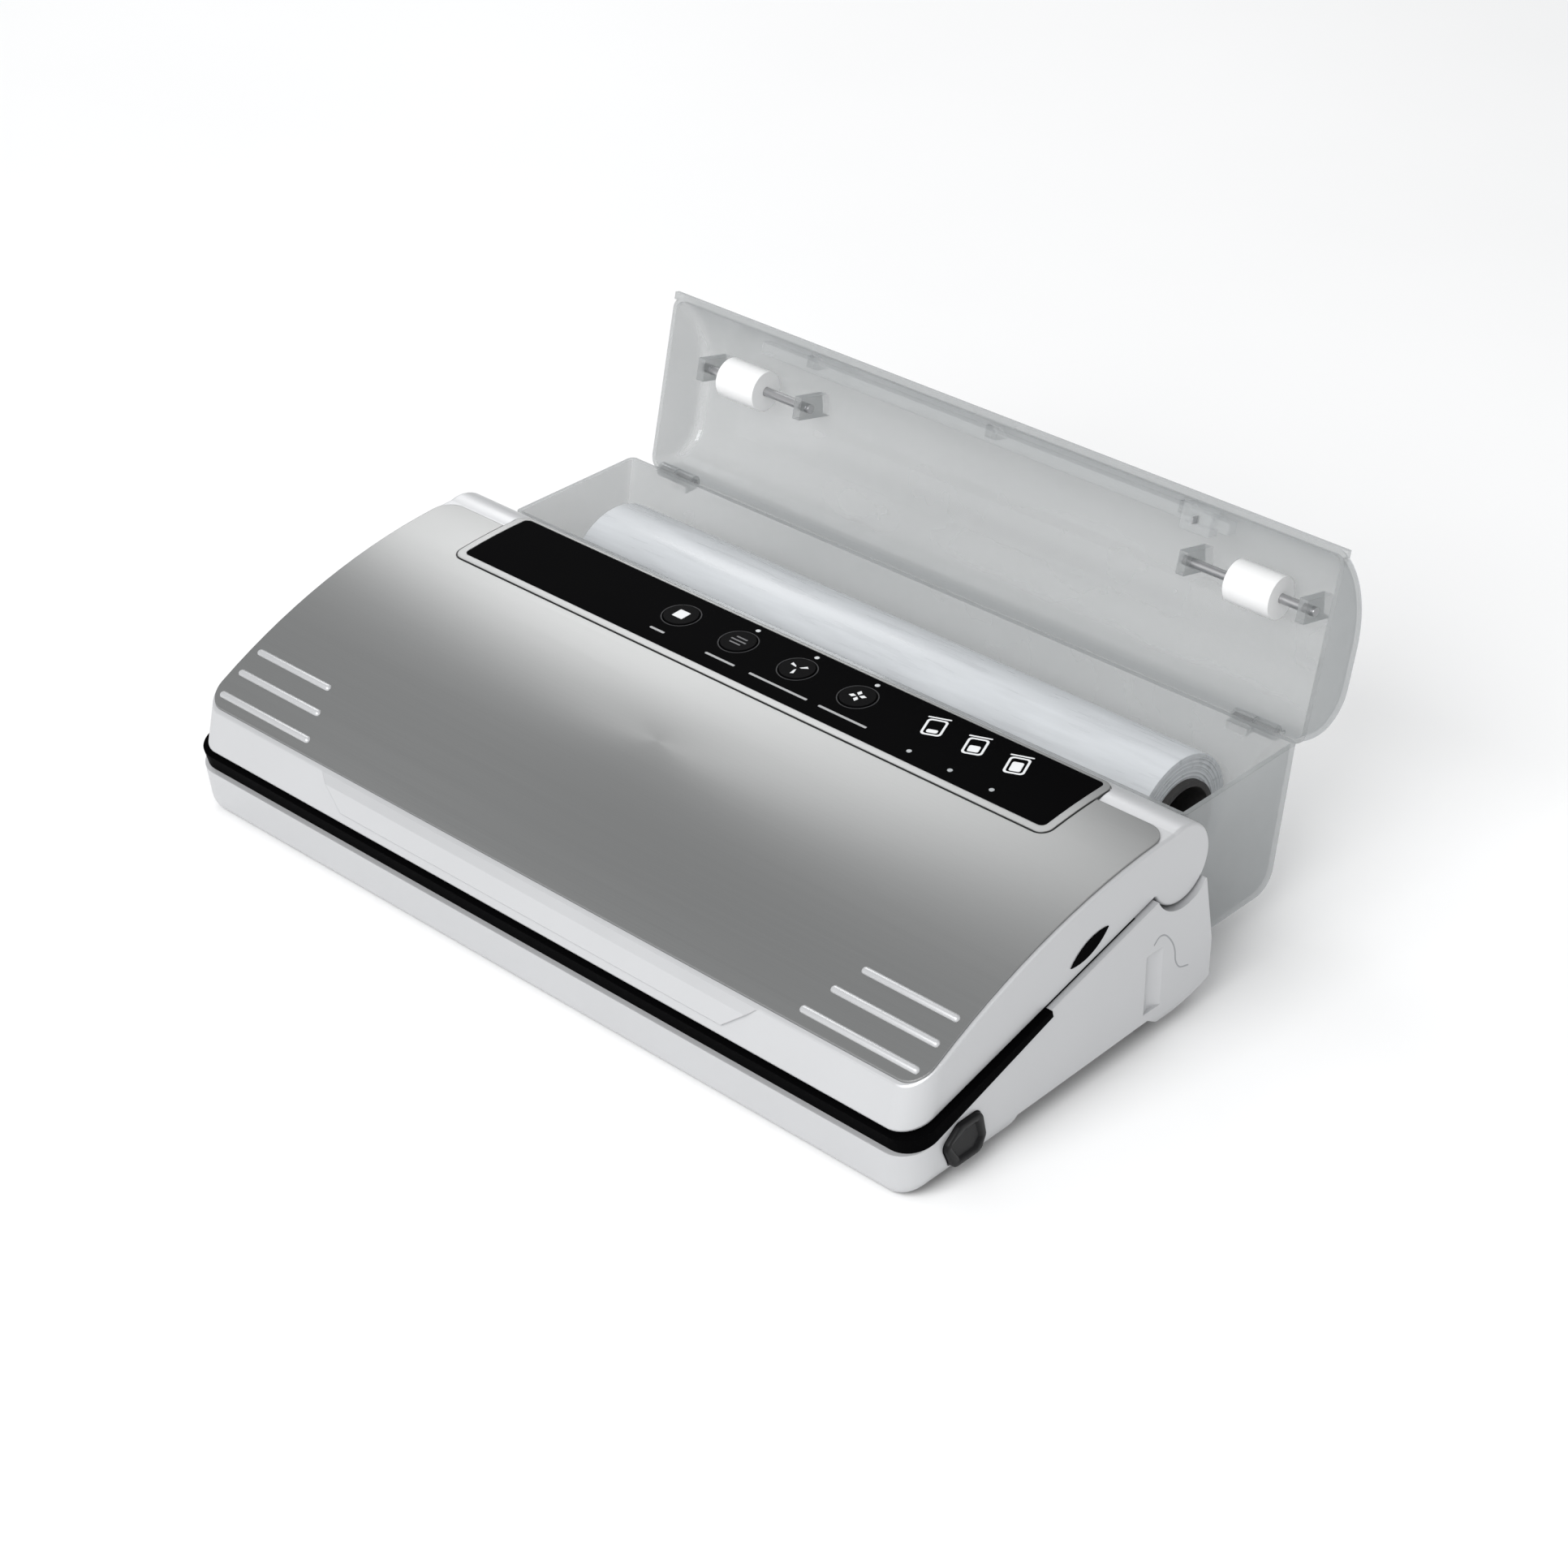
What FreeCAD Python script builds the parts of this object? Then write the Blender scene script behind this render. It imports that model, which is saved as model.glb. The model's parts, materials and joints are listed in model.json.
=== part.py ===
import FreeCAD, Part
import operator
import os
from math import asin, atan2, cos, degrees, pi, radians, sin, sqrt, tan

import Sketcher
from FreeCAD import Placement, Rotation, Vector

# Driving dimensions in millimetres and degrees.
# Depths run back from the lid's front face, heights run up from the table.
# Reaches run back along the sloping deck, and rises stand square to it.
SIZES = {
    # sealing lid
    "lid_side_step": 2.0,
    "lid_wall": 3.0,
    "lid_top_wall": 2.6,
    "lid_front_top": 47.5,
    "lid_nose": 4.5,
    "lid_corner": 11.0,
    "lid_edge_round": 1.2,
    "lid_gap": 0.8,
    "barrel_block": 22.0,
    "skin_thickness": 0.8,
    "skin_inset": 1.5,
    "skin_stop": 6.8,
    "skin_corner": 9.0,
    "rib_radius": 1.6,
    "rib_proud": 1.0,
    "rib_edge_gap": 7.0,
    "rib_first_depth": 6.7,
    "rib_pitch": 10.5,
    "rib_length": 53.0,
    "rib_shortening": 5.3,
    "grip_end_margin": 75.0,
    "grip_taper": 16.0,
    "grip_low": 34.5,
    "grip_shoulder": 43.0,
    "grip_proud": 1.2,
    "inlay_depth": 92.5,
    "inlay_rise": 8.7,
    "inlay_length": 22.5,
    "inlay_width": 6.5,
    "inlay_tilt": 21.4,
    "inlay_recess": 1.0,
    "inlay_proud": 0.4,
    # lid hinge
    "hinge_depth": 146.0,
    "hinge_height": 72.0,
    "barrel_radius": 16.5,
    "barrel_gap": 1.2,
    "hinge_pin_radius": 3.0,
    "running_clearance": 0.05,
    "post_inset": 48.0,
    "post_width": 13.0,
    "post_radius": 8.0,
    "post_side_gap": 1.0,
    "post_sweep_gap": 1.2,
    "notch_rise": 6.4,
    "web_thickness": 6.0,
    # deck and base
    "deck_height": 29.0,
    "deck_slope": 15.0,
    "deck_width": 397.0,
    "deck_plate": 3.0,
    "deck_lip": 3.0,
    "deck_rear_gap": 28.2,
    "band_height": 7.0,
    "band_reach": 72.0,
    "band_overhang": 0.5,
    "base_wall": 2.5,
    "base_front": 5.5,
    "toe_back": 2.5,
    "base_corner": 12.0,
    "heel_depth": 19.5,
    "base_ground": 0.8,
    "toe_round": 4.0,
    "front_foot_depth": 48.0,
    "rear_foot_length": 29.5,
    "rear_ground": 6.5,
    "floor_height": 8.5,
    "arch_front": 10.2,
    "arch_rear": 12.0,
    "arch_run": 5.0,
    "rear_arch_run": 8.0,
    "heel_rise": 7.0,
    "heel_run": 20.0,
    "shoulder_height": 31.0,
    "ear_angle": 40.0,
    "ear_root_angle": 60.0,
    "flute_inset": 40.5,
    "flute_width": 10.0,
    "flute_low": 16.0,
    "flute_high": 42.0,
    "flute_cut": 1.5,
    "floor_plate": 2.5,
    "seat_gap": 0.3,
    "foot_radius": 9.0,
    "foot_inset": 26.0,
    "front_foot_place": 26.0,
    "rear_foot_inset": 16.0,
    "boss_radius": 5.0,
    "boss_inset": 6.5,
    "boss_height": 26.0,
    "screw_radius": 1.5,
    "screw_head_radius": 3.2,
    "screw_head": 2.2,
    "screw_length": 13.0,
    "liner_screw_inset": 55.0,
    "liner_screw_length": 6.5,
    "liner_screw_head": 1.1,
    "front_screw_depth": 45.0,
    "rear_screw_inset": 22.0,
    "screw_clearance": 0.2,
    "grommet_inset": 9.0,
    "grommet_height": 21.0,
    "grommet_radius": 4.0,
    "grommet_bore": 2.8,
    "grommet_lip": 1.5,
    # vacuum chamber and sealing bar
    "trough_end_margin": 31.0,
    "trough_width": 26.0,
    "trough_reach": 49.0,
    "trough_depth": 11.0,
    "trough_corner": 6.0,
    "gasket_margin": 2.5,
    "gasket_width": 5.0,
    "gasket_groove": 1.6,
    "gasket_proud": 1.4,
    "gasket_gap": 0.3,
    "liner_rise": 3.0,
    "liner_thickness": 3.0,
    "seal_end_margin": 9.0,
    "seal_width": 10.0,
    "seal_reach": 14.0,
    "seal_slot": 2.0,
    "seal_proud": 1.2,
    "heat_strip_width": 3.0,
    "heat_strip_thickness": 0.25,
    "tape_thickness": 0.2,
    "strip_gap": 0.3,
    "strip_slot": 2.0,
    "nozzle_radius": 3.0,
    "nozzle_flange": 6.0,
    "nozzle_bore": 1.6,
    "nozzle_length": 4.0,
    "hose_wall": 1.2,
    "hose_floor_gap": 2.1,
    # lid hooks and release buttons
    "hook_inset": 14.5,
    "hook_thickness": 3.0,
    "hook_width": 8.0,
    "hook_reach": 25.0,
    "hook_drop": 14.0,
    "hook_barb": 2.5,
    "hook_barb_height": 2.5,
    "hook_foot": 2.0,
    "hook_slot_gap": 1.5,
    "hook_swing_gap": 3.0,
    "button_depth": 22.0,
    "button_drop": 12.2,
    "button_length": 22.5,
    "button_tall": 17.5,
    "button_slant": 5.0,
    "button_top_slant": 8.0,
    "button_round": 3.6,
    "button_proud": 2.0,
    "button_gap": 0.4,
    "button_flange": 1.5,
    "button_flange_thickness": 2.7,
    "button_travel": 3.0,
    "latch_thickness": 2.0,
    "latch_length": 20.0,
    "latch_width": 18.0,
    "latch_drop": 9.5,
    "latch_window_length": 6.5,
    "latch_window_width": 10.5,
    "spring_radius": 2.4,
    "spring_wire": 0.7,
    "spring_turns": 6.0,
    "spring_length": 14.0,
    "spring_drop": 2.6,
    "spring_stop_width": 9.6,
    # control panel
    "panel_end_margin": 39.5,
    "panel_ahead": 33.0,
    "panel_behind": 3.5,
    "panel_corner": 2.5,
    "panel_proud": 0.1,
    "panel_recess": 1.6,
    "bezel_side": 3.5,
    "bezel_front": 3.5,
    "bezel_rear": 1.5,
    "bezel_corner": 5.0,
    "bezel_proud": 0.3,
    "bezel_groove": 0.6,
    "panel_fit": 0.1,
    "well_end_margin": 16.5,
    "well_margin": 4.5,
    "well_drop": 12.5,
    "key_ahead": 11.5,
    "key_first": -50.0,
    "key_pitch": 32.0,
    "key_radius": 7.4,
    "key_gap": 0.3,
    "key_proud": 0.45,
    "key_flange": 1.2,
    "key_flange_thickness": 1.5,
    "key_stem": 1.0,
    "key_stem_radius": 2.0,
    "lamp_radius": 1.1,
    "lamp_rear_inset": 3.5,
    "lamp_front_inset": 6.2,
    "bag_lamp_inset": 70.5,
    "bag_lamp_pitch": 20.4,
    "lamp_drop": 1.7,
    "board_end_gap": 6.0,
    "board_gap": 1.5,
    "board_lift": 2.0,
    "board_thickness": 1.6,
    "board_post_radius": 3.0,
    "board_post_inset": 14.0,
    "board_post_reach": 9.0,
    "tact_size": 6.0,
    "tact_height": 3.4,
    # film box
    "box_side_step": 16.0,
    "box_front_lap": 0.5,
    "box_length": 72.0,
    "box_rim_rise": 3.5,
    "box_floor": 14.5,
    "box_front_draft": 3.6,
    "box_rear_draft": 9.5,
    "box_wall": 2.2,
    "box_front_round": 6.0,
    "box_rear_round": 12.0,
    "box_end_round": 3.0,
    "box_pad_inset": 72.0,
    "box_pad_width": 20.0,
    "box_pad_low": 18.0,
    "box_pad_high": 30.0,
    "box_screw_height": 24.0,
    "box_screw_radius": 1.75,
    "box_screw_length": 10.0,
    "box_hinge_overhang": 5.0,
    "box_hinge_height": 74.5,
    "box_pin_radius": 1.5,
    "knuckle_radius": 3.2,
    "knuckle_length": 10.0,
    "knuckle_inset": 31.0,
    "knuckle_gap": 0.4,
    # film box lid
    "box_lid_step": 3.0,
    "box_lid_lean": 13.0,
    "box_lid_wall": 2.0,
    "box_lid_rim": 4.0,
    "box_lid_back": 3.0,
    "box_lid_front": 77.0,
    "dome_height": 32.0,
    "dome_rear_radius": 20.0,
    "dome_front_radius": 51.8,
    "dome_crest_front": 33.0,
    "dome_end_round": 6.0,
    "rim_bead": 1.2,
    "rim_bead_height": 2.5,
    "roller_run": 47.0,
    "roller_rise": 14.0,
    "roller_radius": 9.0,
    "roller_length": 22.0,
    "roller_inset": 41.0,
    "axle_radius": 2.0,
    "axle_end": 1.5,
    "bracket_inner_gap": 23.0,
    "bracket_outer_gap": 13.0,
    "bracket_thickness": 4.0,
    "bracket_width": 10.0,
    "rail_end_margin": 54.0,
    "rail_run": 68.5,
    "rail_width": 5.0,
    "rail_low": 4.6,
    "rail_height": 5.0,
    "rail_tab_inset": 25.0,
    "rail_tab_length": 6.0,
    "cutter_inset": 14.0,
    "cutter_length": 14.0,
    "cutter_wall": 2.5,
    "cutter_gap": 0.3,
    "cutter_hold": 3.2,
    "blade_thickness": 0.5,
    "blade_width": 3.0,
    "blade_proud": 2.6,
    "blade_seat": 1.5,
    # film roll
    "roll_end_margin": 27.0,
    "roll_radius": 29.5,
    "roll_reach": 34.3,
    "roll_lift": 0.5,
    "core_radius": 19.0,
    "core_wall": 2.5,
    "core_overhang": 2.0,
    # pump, power supply and switch
    "pump_depth": 96.0,
    "pump_height": 27.0,
    "motor_radius": 14.0,
    "motor_length": 46.0,
    "motor_inset": 46.0,
    "cradle_height": 9.0,
    "cradle_width": 30.0,
    "pump_length": 32.0,
    "pump_width": 32.0,
    "pump_low": 13.0,
    "pump_high": 43.0,
    "pump_bore": 11.0,
    "pump_back_wall": 8.0,
    "pump_cover_plate": 3.0,
    "shaft_radius": 2.0,
    "shaft_gap": 0.3,
    "eccentric_radius": 7.0,
    "eccentric_offset": 2.0,
    "eccentric_length": 8.0,
    "eccentric_start": 12.0,
    "core_inset": 85.5,
    "core_length": 55.0,
    "core_front": 76.0,
    "core_rear": 116.0,
    "core_gap": 2.3,
    "core_leg": 10.0,
    "core_middle_leg": 15.0,
    "core_yoke": 6.0,
    "winding_overhang": 7.0,
    "power_board_left": -40.0,
    "power_board_right": 60.0,
    "power_board_front": 80.0,
    "power_board_rear": 125.0,
    "power_board_lift": 9.0,
    "capacitor_radius": 6.0,
    "capacitor_height": 16.0,
    "capacitor_inset": 18.0,
    "relay_length": 20.0,
    "relay_inset": 10.0,
    "relay_width": 16.0,
    "relay_height": 12.0,
    "valve_side": 30.0,
    "valve_depth": 42.0,
    "valve_radius": 7.0,
    "valve_drop": 8.0,
    "valve_stem_radius": 2.5,
    "valve_stem": 3.0,
    "switch_inset": 14.0,
    "switch_length": 10.0,
    "switch_width": 8.0,
    "switch_height": 7.0,
}

OPERATIONS = {
    "+": operator.add,
    "-": operator.sub,
    "*": operator.mul,
    "/": operator.truediv,
}
TOLERANCE = 1e-4
OVERRUN = 5.0
SIDES = {"right": 1.0, "left": -1.0}


class Size:
    """A length or angle, held as an expression on the sheet and as its value."""

    def __init__(self, text, value):
        self.text = text
        self.value = value

    def joined(self, sign, other, swapped=False):
        """Return this size combined with another by an arithmetic sign."""
        pair = (as_size(other), self) if swapped else (self, as_size(other))
        text = f"({pair[0].text} {sign} {pair[1].text})"
        return Size(text, OPERATIONS[sign](pair[0].value, pair[1].value))

    def __add__(self, other):
        return self.joined("+", other)

    def __radd__(self, other):
        return self.joined("+", other, swapped=True)

    def __sub__(self, other):
        return self.joined("-", other)

    def __rsub__(self, other):
        return self.joined("-", other, swapped=True)

    def __mul__(self, other):
        return self.joined("*", other)

    def __rmul__(self, other):
        return self.joined("*", other, swapped=True)

    def __truediv__(self, other):
        return self.joined("/", other)

    def __neg__(self):
        return Size(f"(0 - {self.text})", -self.value)


def as_size(amount):
    """Return an amount as a Size."""
    if isinstance(amount, Size):
        return amount
    return Size(repr(float(amount)), float(amount))


def sine(angle):
    """Return the sine of an angle in degrees."""
    return Size(f"sin({angle.text})", sin(radians(angle.value)))


def cosine(angle):
    """Return the cosine of an angle in degrees."""
    return Size(f"cos({angle.text})", cos(radians(angle.value)))


def arc_sine(ratio):
    """Return the angle in degrees whose sine is given."""
    return Size(f"(asin({ratio.text}) / 1 deg)", degrees(asin(ratio.value)))


def root(amount):
    """Return a square root."""
    return Size(f"sqrt({amount.text})", sqrt(amount.value))


class Sheet:
    """Gives each cell of the sheet as a Size, by its alias."""

    def __getattr__(self, name):
        return Size(f"Dims.{name}", SIZES[name])


doc = FreeCAD.newDocument("VacuumSealer")
cells = doc.addObject("Spreadsheet::Sheet", "Dims")
for row, (alias, amount) in enumerate(SIZES.items(), start=1):
    cells.set(f"A{row}", alias)
    cells.set(f"B{row}", str(amount))
    cells.setAlias(f"B{row}", alias)
doc.recompute()
d = Sheet()
places = doc.addObject("App::VarSet", "Places")
pieces = {}


def derived(name, amount):
    """Keep a worked-out size under a name of its own."""
    places.addProperty("App::PropertyFloat", name, "Derived", "")
    places.setExpression(name, amount.text)
    return Size(f"Places.{name}", amount.value)


def bind(target, prop, amount):
    """Tie a property to a size."""
    target.setExpression(prop, as_size(amount).text)


# Worked-out places shared by several pieces
slope_sine = derived("slope_sine", sine(d.deck_slope))
slope_cosine = derived("slope_cosine", cosine(d.deck_slope))
slope_tangent = derived("slope_tangent", slope_sine / slope_cosine)
hinge_reach = derived(
    "hinge_reach",
    d.hinge_depth * slope_cosine + (d.hinge_height - d.deck_height) * slope_sine,
)
hinge_rise = derived(
    "hinge_rise",
    (d.hinge_height - d.deck_height) * slope_cosine - d.hinge_depth * slope_sine,
)
crest_height = derived("crest_height", d.hinge_height + d.barrel_radius)
crest_drop = derived("crest_drop", crest_height - d.lid_front_top)
top_radius = derived(
    "top_radius",
    (d.hinge_depth * d.hinge_depth + crest_drop * crest_drop) / (crest_drop * 2),
)
top_centre = derived("top_centre", crest_height - top_radius)
frame_radius = derived("frame_radius", top_radius - d.skin_thickness)
cradle_radius = derived("cradle_radius", d.barrel_radius + d.barrel_gap)

# Places across the width, from the deck's edge inwards
half_deck = derived("half_deck", d.deck_width / 2)
half_base = derived("half_base", half_deck - d.band_overhang)
half_base_inner = derived("half_base_inner", half_base - d.base_wall)
half_lid = derived("half_lid", half_base - d.lid_side_step)
half_lid_inner = derived("half_lid_inner", half_lid - d.lid_wall)
half_grip = derived("half_grip", half_lid - d.grip_end_margin)
half_trough = derived("half_trough", half_lid - d.trough_end_margin)
half_seal = derived("half_seal", half_trough - d.seal_end_margin)
liner_screw_side = derived("liner_screw_side", half_trough - d.liner_screw_inset)
post_side = derived("post_side", half_base - d.post_inset)
foot_side = derived("foot_side", half_base - d.foot_inset)
grommet_side = derived("grommet_side", d.grommet_inset - half_base)
hook_side = derived("hook_side", half_base - d.hook_inset)
motor_face = derived("motor_face", d.motor_inset + d.motor_length - half_base)
nozzle_side = derived("nozzle_side", motor_face + d.pump_length / 2)
core_side = derived("core_side", half_base - d.core_inset)
panel_half = derived("panel_half", half_lid - d.panel_end_margin)
half_well = derived("half_well", panel_half - d.well_end_margin)
half_board = derived("half_board", half_well - d.board_end_gap)
board_post_side = derived("board_post_side", half_board - d.board_post_inset)
bag_lamp_first = derived("bag_lamp_first", panel_half - d.bag_lamp_inset)
half_box = derived("half_box", half_base - d.box_side_step)
half_roll = derived("half_roll", half_box - d.roll_end_margin)
box_pad_side = derived("box_pad_side", half_box - d.box_pad_inset)
half_box_lid = derived("half_box_lid", half_box - d.box_lid_step)
knuckle_side = derived("knuckle_side", half_box_lid - d.knuckle_inset)
roller_side = derived("roller_side", half_box_lid - d.roller_inset)
roller_end = d.roller_length / 2
bracket_inner_side = derived("bracket_inner_side", roller_side - roller_end - d.bracket_inner_gap)
bracket_outer_side = derived("bracket_outer_side", roller_side + roller_end + d.bracket_outer_gap)
half_rail = derived("half_rail", half_box_lid - d.rail_end_margin)
rail_tab_side = derived("rail_tab_side", half_rail - d.rail_tab_inset)
cutter_rest = derived("cutter_rest", half_rail - d.cutter_inset)

# Depths, from the lid's hinge forwards and backwards
front_inner = derived("front_inner", d.base_wall + d.toe_back - d.base_front)
base_depth = derived("base_depth", d.hinge_depth + d.heel_depth)
rear_foot_depth = derived("rear_foot_depth", base_depth - d.rear_foot_length)
rear_foot_place = derived("rear_foot_place", base_depth - d.rear_foot_inset)
rear_screw_depth = derived("rear_screw_depth", base_depth - d.rear_screw_inset)
flute_depth = derived("flute_depth", base_depth - d.flute_inset)
deck_reach = derived("deck_reach", hinge_reach - d.deck_rear_gap)
lid_core_depth = derived("lid_core_depth", d.hinge_depth - d.barrel_block)
panel_front = derived("panel_front", d.hinge_depth - d.panel_ahead)
panel_rear = derived("panel_rear", d.hinge_depth + d.panel_behind)
well_front = derived("well_front", panel_front + d.well_margin)
well_rear = derived("well_rear", panel_rear - d.well_margin)
board_front = derived("board_front", well_front + d.board_gap)
board_rear = derived("board_rear", well_rear - d.board_gap)
board_post_depth = derived("board_post_depth", board_front + d.board_post_reach)
key_depth = derived("key_depth", d.hinge_depth - d.key_ahead)
lamp_rear_depth = derived("lamp_rear_depth", panel_rear - d.lamp_rear_inset)
lamp_front_depth = derived("lamp_front_depth", panel_front + d.lamp_front_inset)
box_front = derived("box_front", base_depth - d.box_front_lap)
box_rear = derived("box_rear", box_front + d.box_length)
box_hinge_depth = derived("box_hinge_depth", box_rear + d.box_hinge_overhang)
roll_depth = derived("roll_depth", box_front + d.roll_reach)
rear_reach = derived(
    "rear_reach",
    box_hinge_depth
    + d.dome_crest_front * sine(d.box_lid_lean)
    + (d.dome_height - d.dome_front_radius) * cosine(d.box_lid_lean)
    + d.dome_front_radius,
)
middle = derived("middle", (rear_reach - d.base_front) / 2)

# Heights
floor_top = derived("floor_top", d.floor_height + d.floor_plate)
liner_top = derived("liner_top", d.liner_rise + d.liner_thickness)
well_floor = derived("well_floor", crest_height - d.well_drop)
board_height = derived("board_height", well_floor + d.board_lift)
button_height = derived("button_height", d.deck_height - d.button_drop)
spring_height = derived("spring_height", button_height - d.spring_drop)
lid_low = derived("lid_low", d.deck_height - d.lid_nose * slope_tangent + d.lid_gap / slope_cosine)
front_lean = derived("front_lean", d.lid_nose / (d.lid_front_top - lid_low))
latch_top = derived("latch_top", d.deck_height - d.latch_drop)
inlay_height = derived("inlay_height", d.deck_height + d.inlay_depth * slope_tangent + d.inlay_rise)
core_top = derived(
    "core_top",
    d.deck_height + d.core_front * slope_tangent - d.deck_plate / slope_cosine - d.core_gap,
)
box_rim = derived("box_rim", d.box_hinge_height + d.box_rim_rise)
roll_height = derived("roll_height", d.box_floor + d.box_wall + d.roll_lift + d.roll_radius)
key_tilt = derived("key_tilt", arc_sine((d.hinge_depth - key_depth) / top_radius))


def deck_point(reach, rise):
    """Return the depth and height of a point given along and above the deck."""
    reach, rise = as_size(reach), as_size(rise)
    depth = reach * slope_cosine - rise * slope_sine
    height = d.deck_height + reach * slope_sine + rise * slope_cosine
    return depth, height


def top_height(depth, radius):
    """Return the height of the lid's top curve, of a given radius, at a depth."""
    away = d.hinge_depth - depth
    return top_centre + root(radius * radius - away * away)


# Building blocks
def attached_sketch(body, plane, name, offset):
    """Return an empty sketch on one of a body's own origin planes."""
    planes = {feature.Role: feature for feature in body.Origin.OriginFeatures}
    sketch = body.newObject("Sketcher::SketchObject", name)
    sketch.AttachmentSupport = [(planes[plane], "")]
    sketch.MapMode = "FlatFace"
    bind(sketch, "AttachmentOffset.Base.z", offset)
    return sketch


def held(sketch, kind, where, amount):
    """Add a dimension that follows a size."""
    index = sketch.addConstraint(Sketcher.Constraint(kind, *where, amount.value))
    sketch.setExpression(f"Constraints[{index}]", amount.text)


def bend_between(sketch, centre, start, end, clockwise):
    """Add an arc and return its number and the marks of its two ends."""
    angles = [atan2(point.y - centre.y, point.x - centre.x) for point in (start, end)]
    if clockwise:
        angles.reverse()
    if angles[1] <= angles[0]:
        angles[1] += 2 * pi
    circle = Part.Circle(centre, Vector(0, 0, 1), (start - centre).Length)
    number = sketch.addGeometry(Part.ArcOfCircle(circle, *angles))
    return (number, 2, 1) if clockwise else (number, 1, 2)


def outline(sketch, corners, arcs=None, rounds=None, held_axes=None):
    """Draw a closed outline through corners, with some sides and corners round.

    arcs gives a side's centre, radius and turn, rounds gives a corner's radius, and
    held_axes says which coordinates of a corner on an arc are dimensioned.
    """
    arcs = arcs or {}
    rounds = rounds or {}
    held_axes = held_axes or {}
    corners = [(as_size(x), as_size(y)) for x, y in corners]
    count = len(corners)
    spots = [Vector(x.value, y.value, 0) for x, y in corners]
    starts = list(spots)
    stops = [spots[(side + 1) % count] for side in range(count)]
    for corner, radius in rounds.items():
        back = (spots[corner - 1] - spots[corner]).normalize()
        ahead = (spots[(corner + 1) % count] - spots[corner]).normalize()
        reach = as_size(radius).value / tan(back.getAngle(ahead) / 2)
        stops[(corner - 1) % count] = spots[corner] + back * reach
        starts[corner] = spots[corner] + ahead * reach
    sides = []
    for side in range(count):
        if side in arcs:
            centre, radius, clockwise = arcs[side]
            across, up = as_size(centre[0]), as_size(centre[1])
            middle_spot = Vector(across.value, up.value, 0)
            ends = bend_between(sketch, middle_spot, starts[side], stops[side], clockwise)
            held(sketch, "DistanceX", (-1, 1, ends[0], 3), across)
            held(sketch, "DistanceY", (-1, 1, ends[0], 3), up)
            held(sketch, "Radius", (ends[0],), as_size(radius))
        else:
            ends = (sketch.addGeometry(Part.LineSegment(starts[side], stops[side])), 1, 2)
        sides.append(ends)
    for corner, (across, up) in enumerate(corners):
        before, after = sides[corner - 1], sides[corner]
        on_arc = corner in arcs or (corner - 1) % count in arcs
        if corner in rounds:
            radius = as_size(rounds[corner])
            back = (spots[corner - 1] - spots[corner]).normalize()
            ahead = (spots[(corner + 1) % count] - spots[corner]).normalize()
            aim = (back + ahead).normalize()
            centre = spots[corner] + aim * (radius.value / sin(back.getAngle(ahead) / 2))
            clockwise = back.cross(ahead).z > 0
            bend = bend_between(
                sketch, centre, stops[(corner - 1) % count], starts[corner], clockwise
            )
            point = sketch.addGeometry(Part.Point(spots[corner]), True)
            sketch.addConstraint(
                [
                    Sketcher.Constraint("Tangent", before[0], before[2], bend[0], bend[1]),
                    Sketcher.Constraint("Tangent", bend[0], bend[2], after[0], after[1]),
                    Sketcher.Constraint("PointOnObject", point, 1, before[0]),
                    Sketcher.Constraint("PointOnObject", point, 1, after[0]),
                ]
            )
            held(sketch, "Radius", (bend[0],), radius)
            held(sketch, "DistanceX", (-1, 1, point, 1), across)
            held(sketch, "DistanceY", (-1, 1, point, 1), up)
            continue
        sketch.addConstraint(
            Sketcher.Constraint("Coincident", before[0], before[2], after[0], after[1])
        )
        axes = held_axes.get(corner, "x" if on_arc else "xy")
        if "x" in axes:
            held(sketch, "DistanceX", (-1, 1, after[0], after[1]), across)
        if "y" in axes:
            held(sketch, "DistanceY", (-1, 1, after[0], after[1]), up)


def prism(name, plane, corners, low, high, **shape):
    """Return a body: an outline on a plane, padded from low to high across it."""
    low, high = as_size(low), as_size(high)
    body = doc.addObject("PartDesign::Body", name)
    offset = -high if plane == "XZ_Plane" else low
    sketch = attached_sketch(body, plane, name + "_outline", offset)
    outline(sketch, corners, **shape)
    pad = body.newObject("PartDesign::Pad", name + "_pad")
    pad.Profile = sketch
    bind(pad, "Length", high - low)
    return body


def rectangle(low_x, high_x, low_y, high_y):
    """Return the corners of a rectangle."""
    return [(low_x, low_y), (high_x, low_y), (high_x, high_y), (low_x, high_y)]


def plate(name, half, front, rear, low, high, radius):
    """Return a body: a level plate, even about the middle, with round corners."""
    corners = rectangle(-half, half, front, rear)
    return prism(name, "XY_Plane", corners, low, high, rounds={i: radius for i in range(4)})


def curved_plate(name, half, front, rear, inner, outer, radius):
    """Return a plate bent to the lid's top curve, with round corners in plan."""
    corners = [
        (front, top_height(front, inner)),
        (rear, top_height(rear, inner)),
        (rear, top_height(rear, outer)),
        (front, top_height(front, outer)),
    ]
    centre = (d.hinge_depth, top_centre)
    arcs = {0: (centre, inner, True), 2: (centre, outer, False)}
    slab = prism(name + "_slab", "YZ_Plane", corners, -half, half, arcs=arcs)
    plan = plate(name + "_plan", half, front, rear, 0, crest_height + OVERRUN * 2, radius)
    return shared(name, slab, plan)


def upright(edge):
    """Say whether an edge runs straight up."""
    tangent = edge.tangentAt(edge.FirstParameter)
    return edge.Curve.TypeId == "Part::GeomLine" and abs(tangent.z) > 1 - TOLERANCE


def upright_at(depth):
    """Return a test for edges that run straight up at a depth."""
    return lambda edge: upright(edge) and abs(edge.CenterOfMass.y - depth.value) < TOLERANCE


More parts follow.
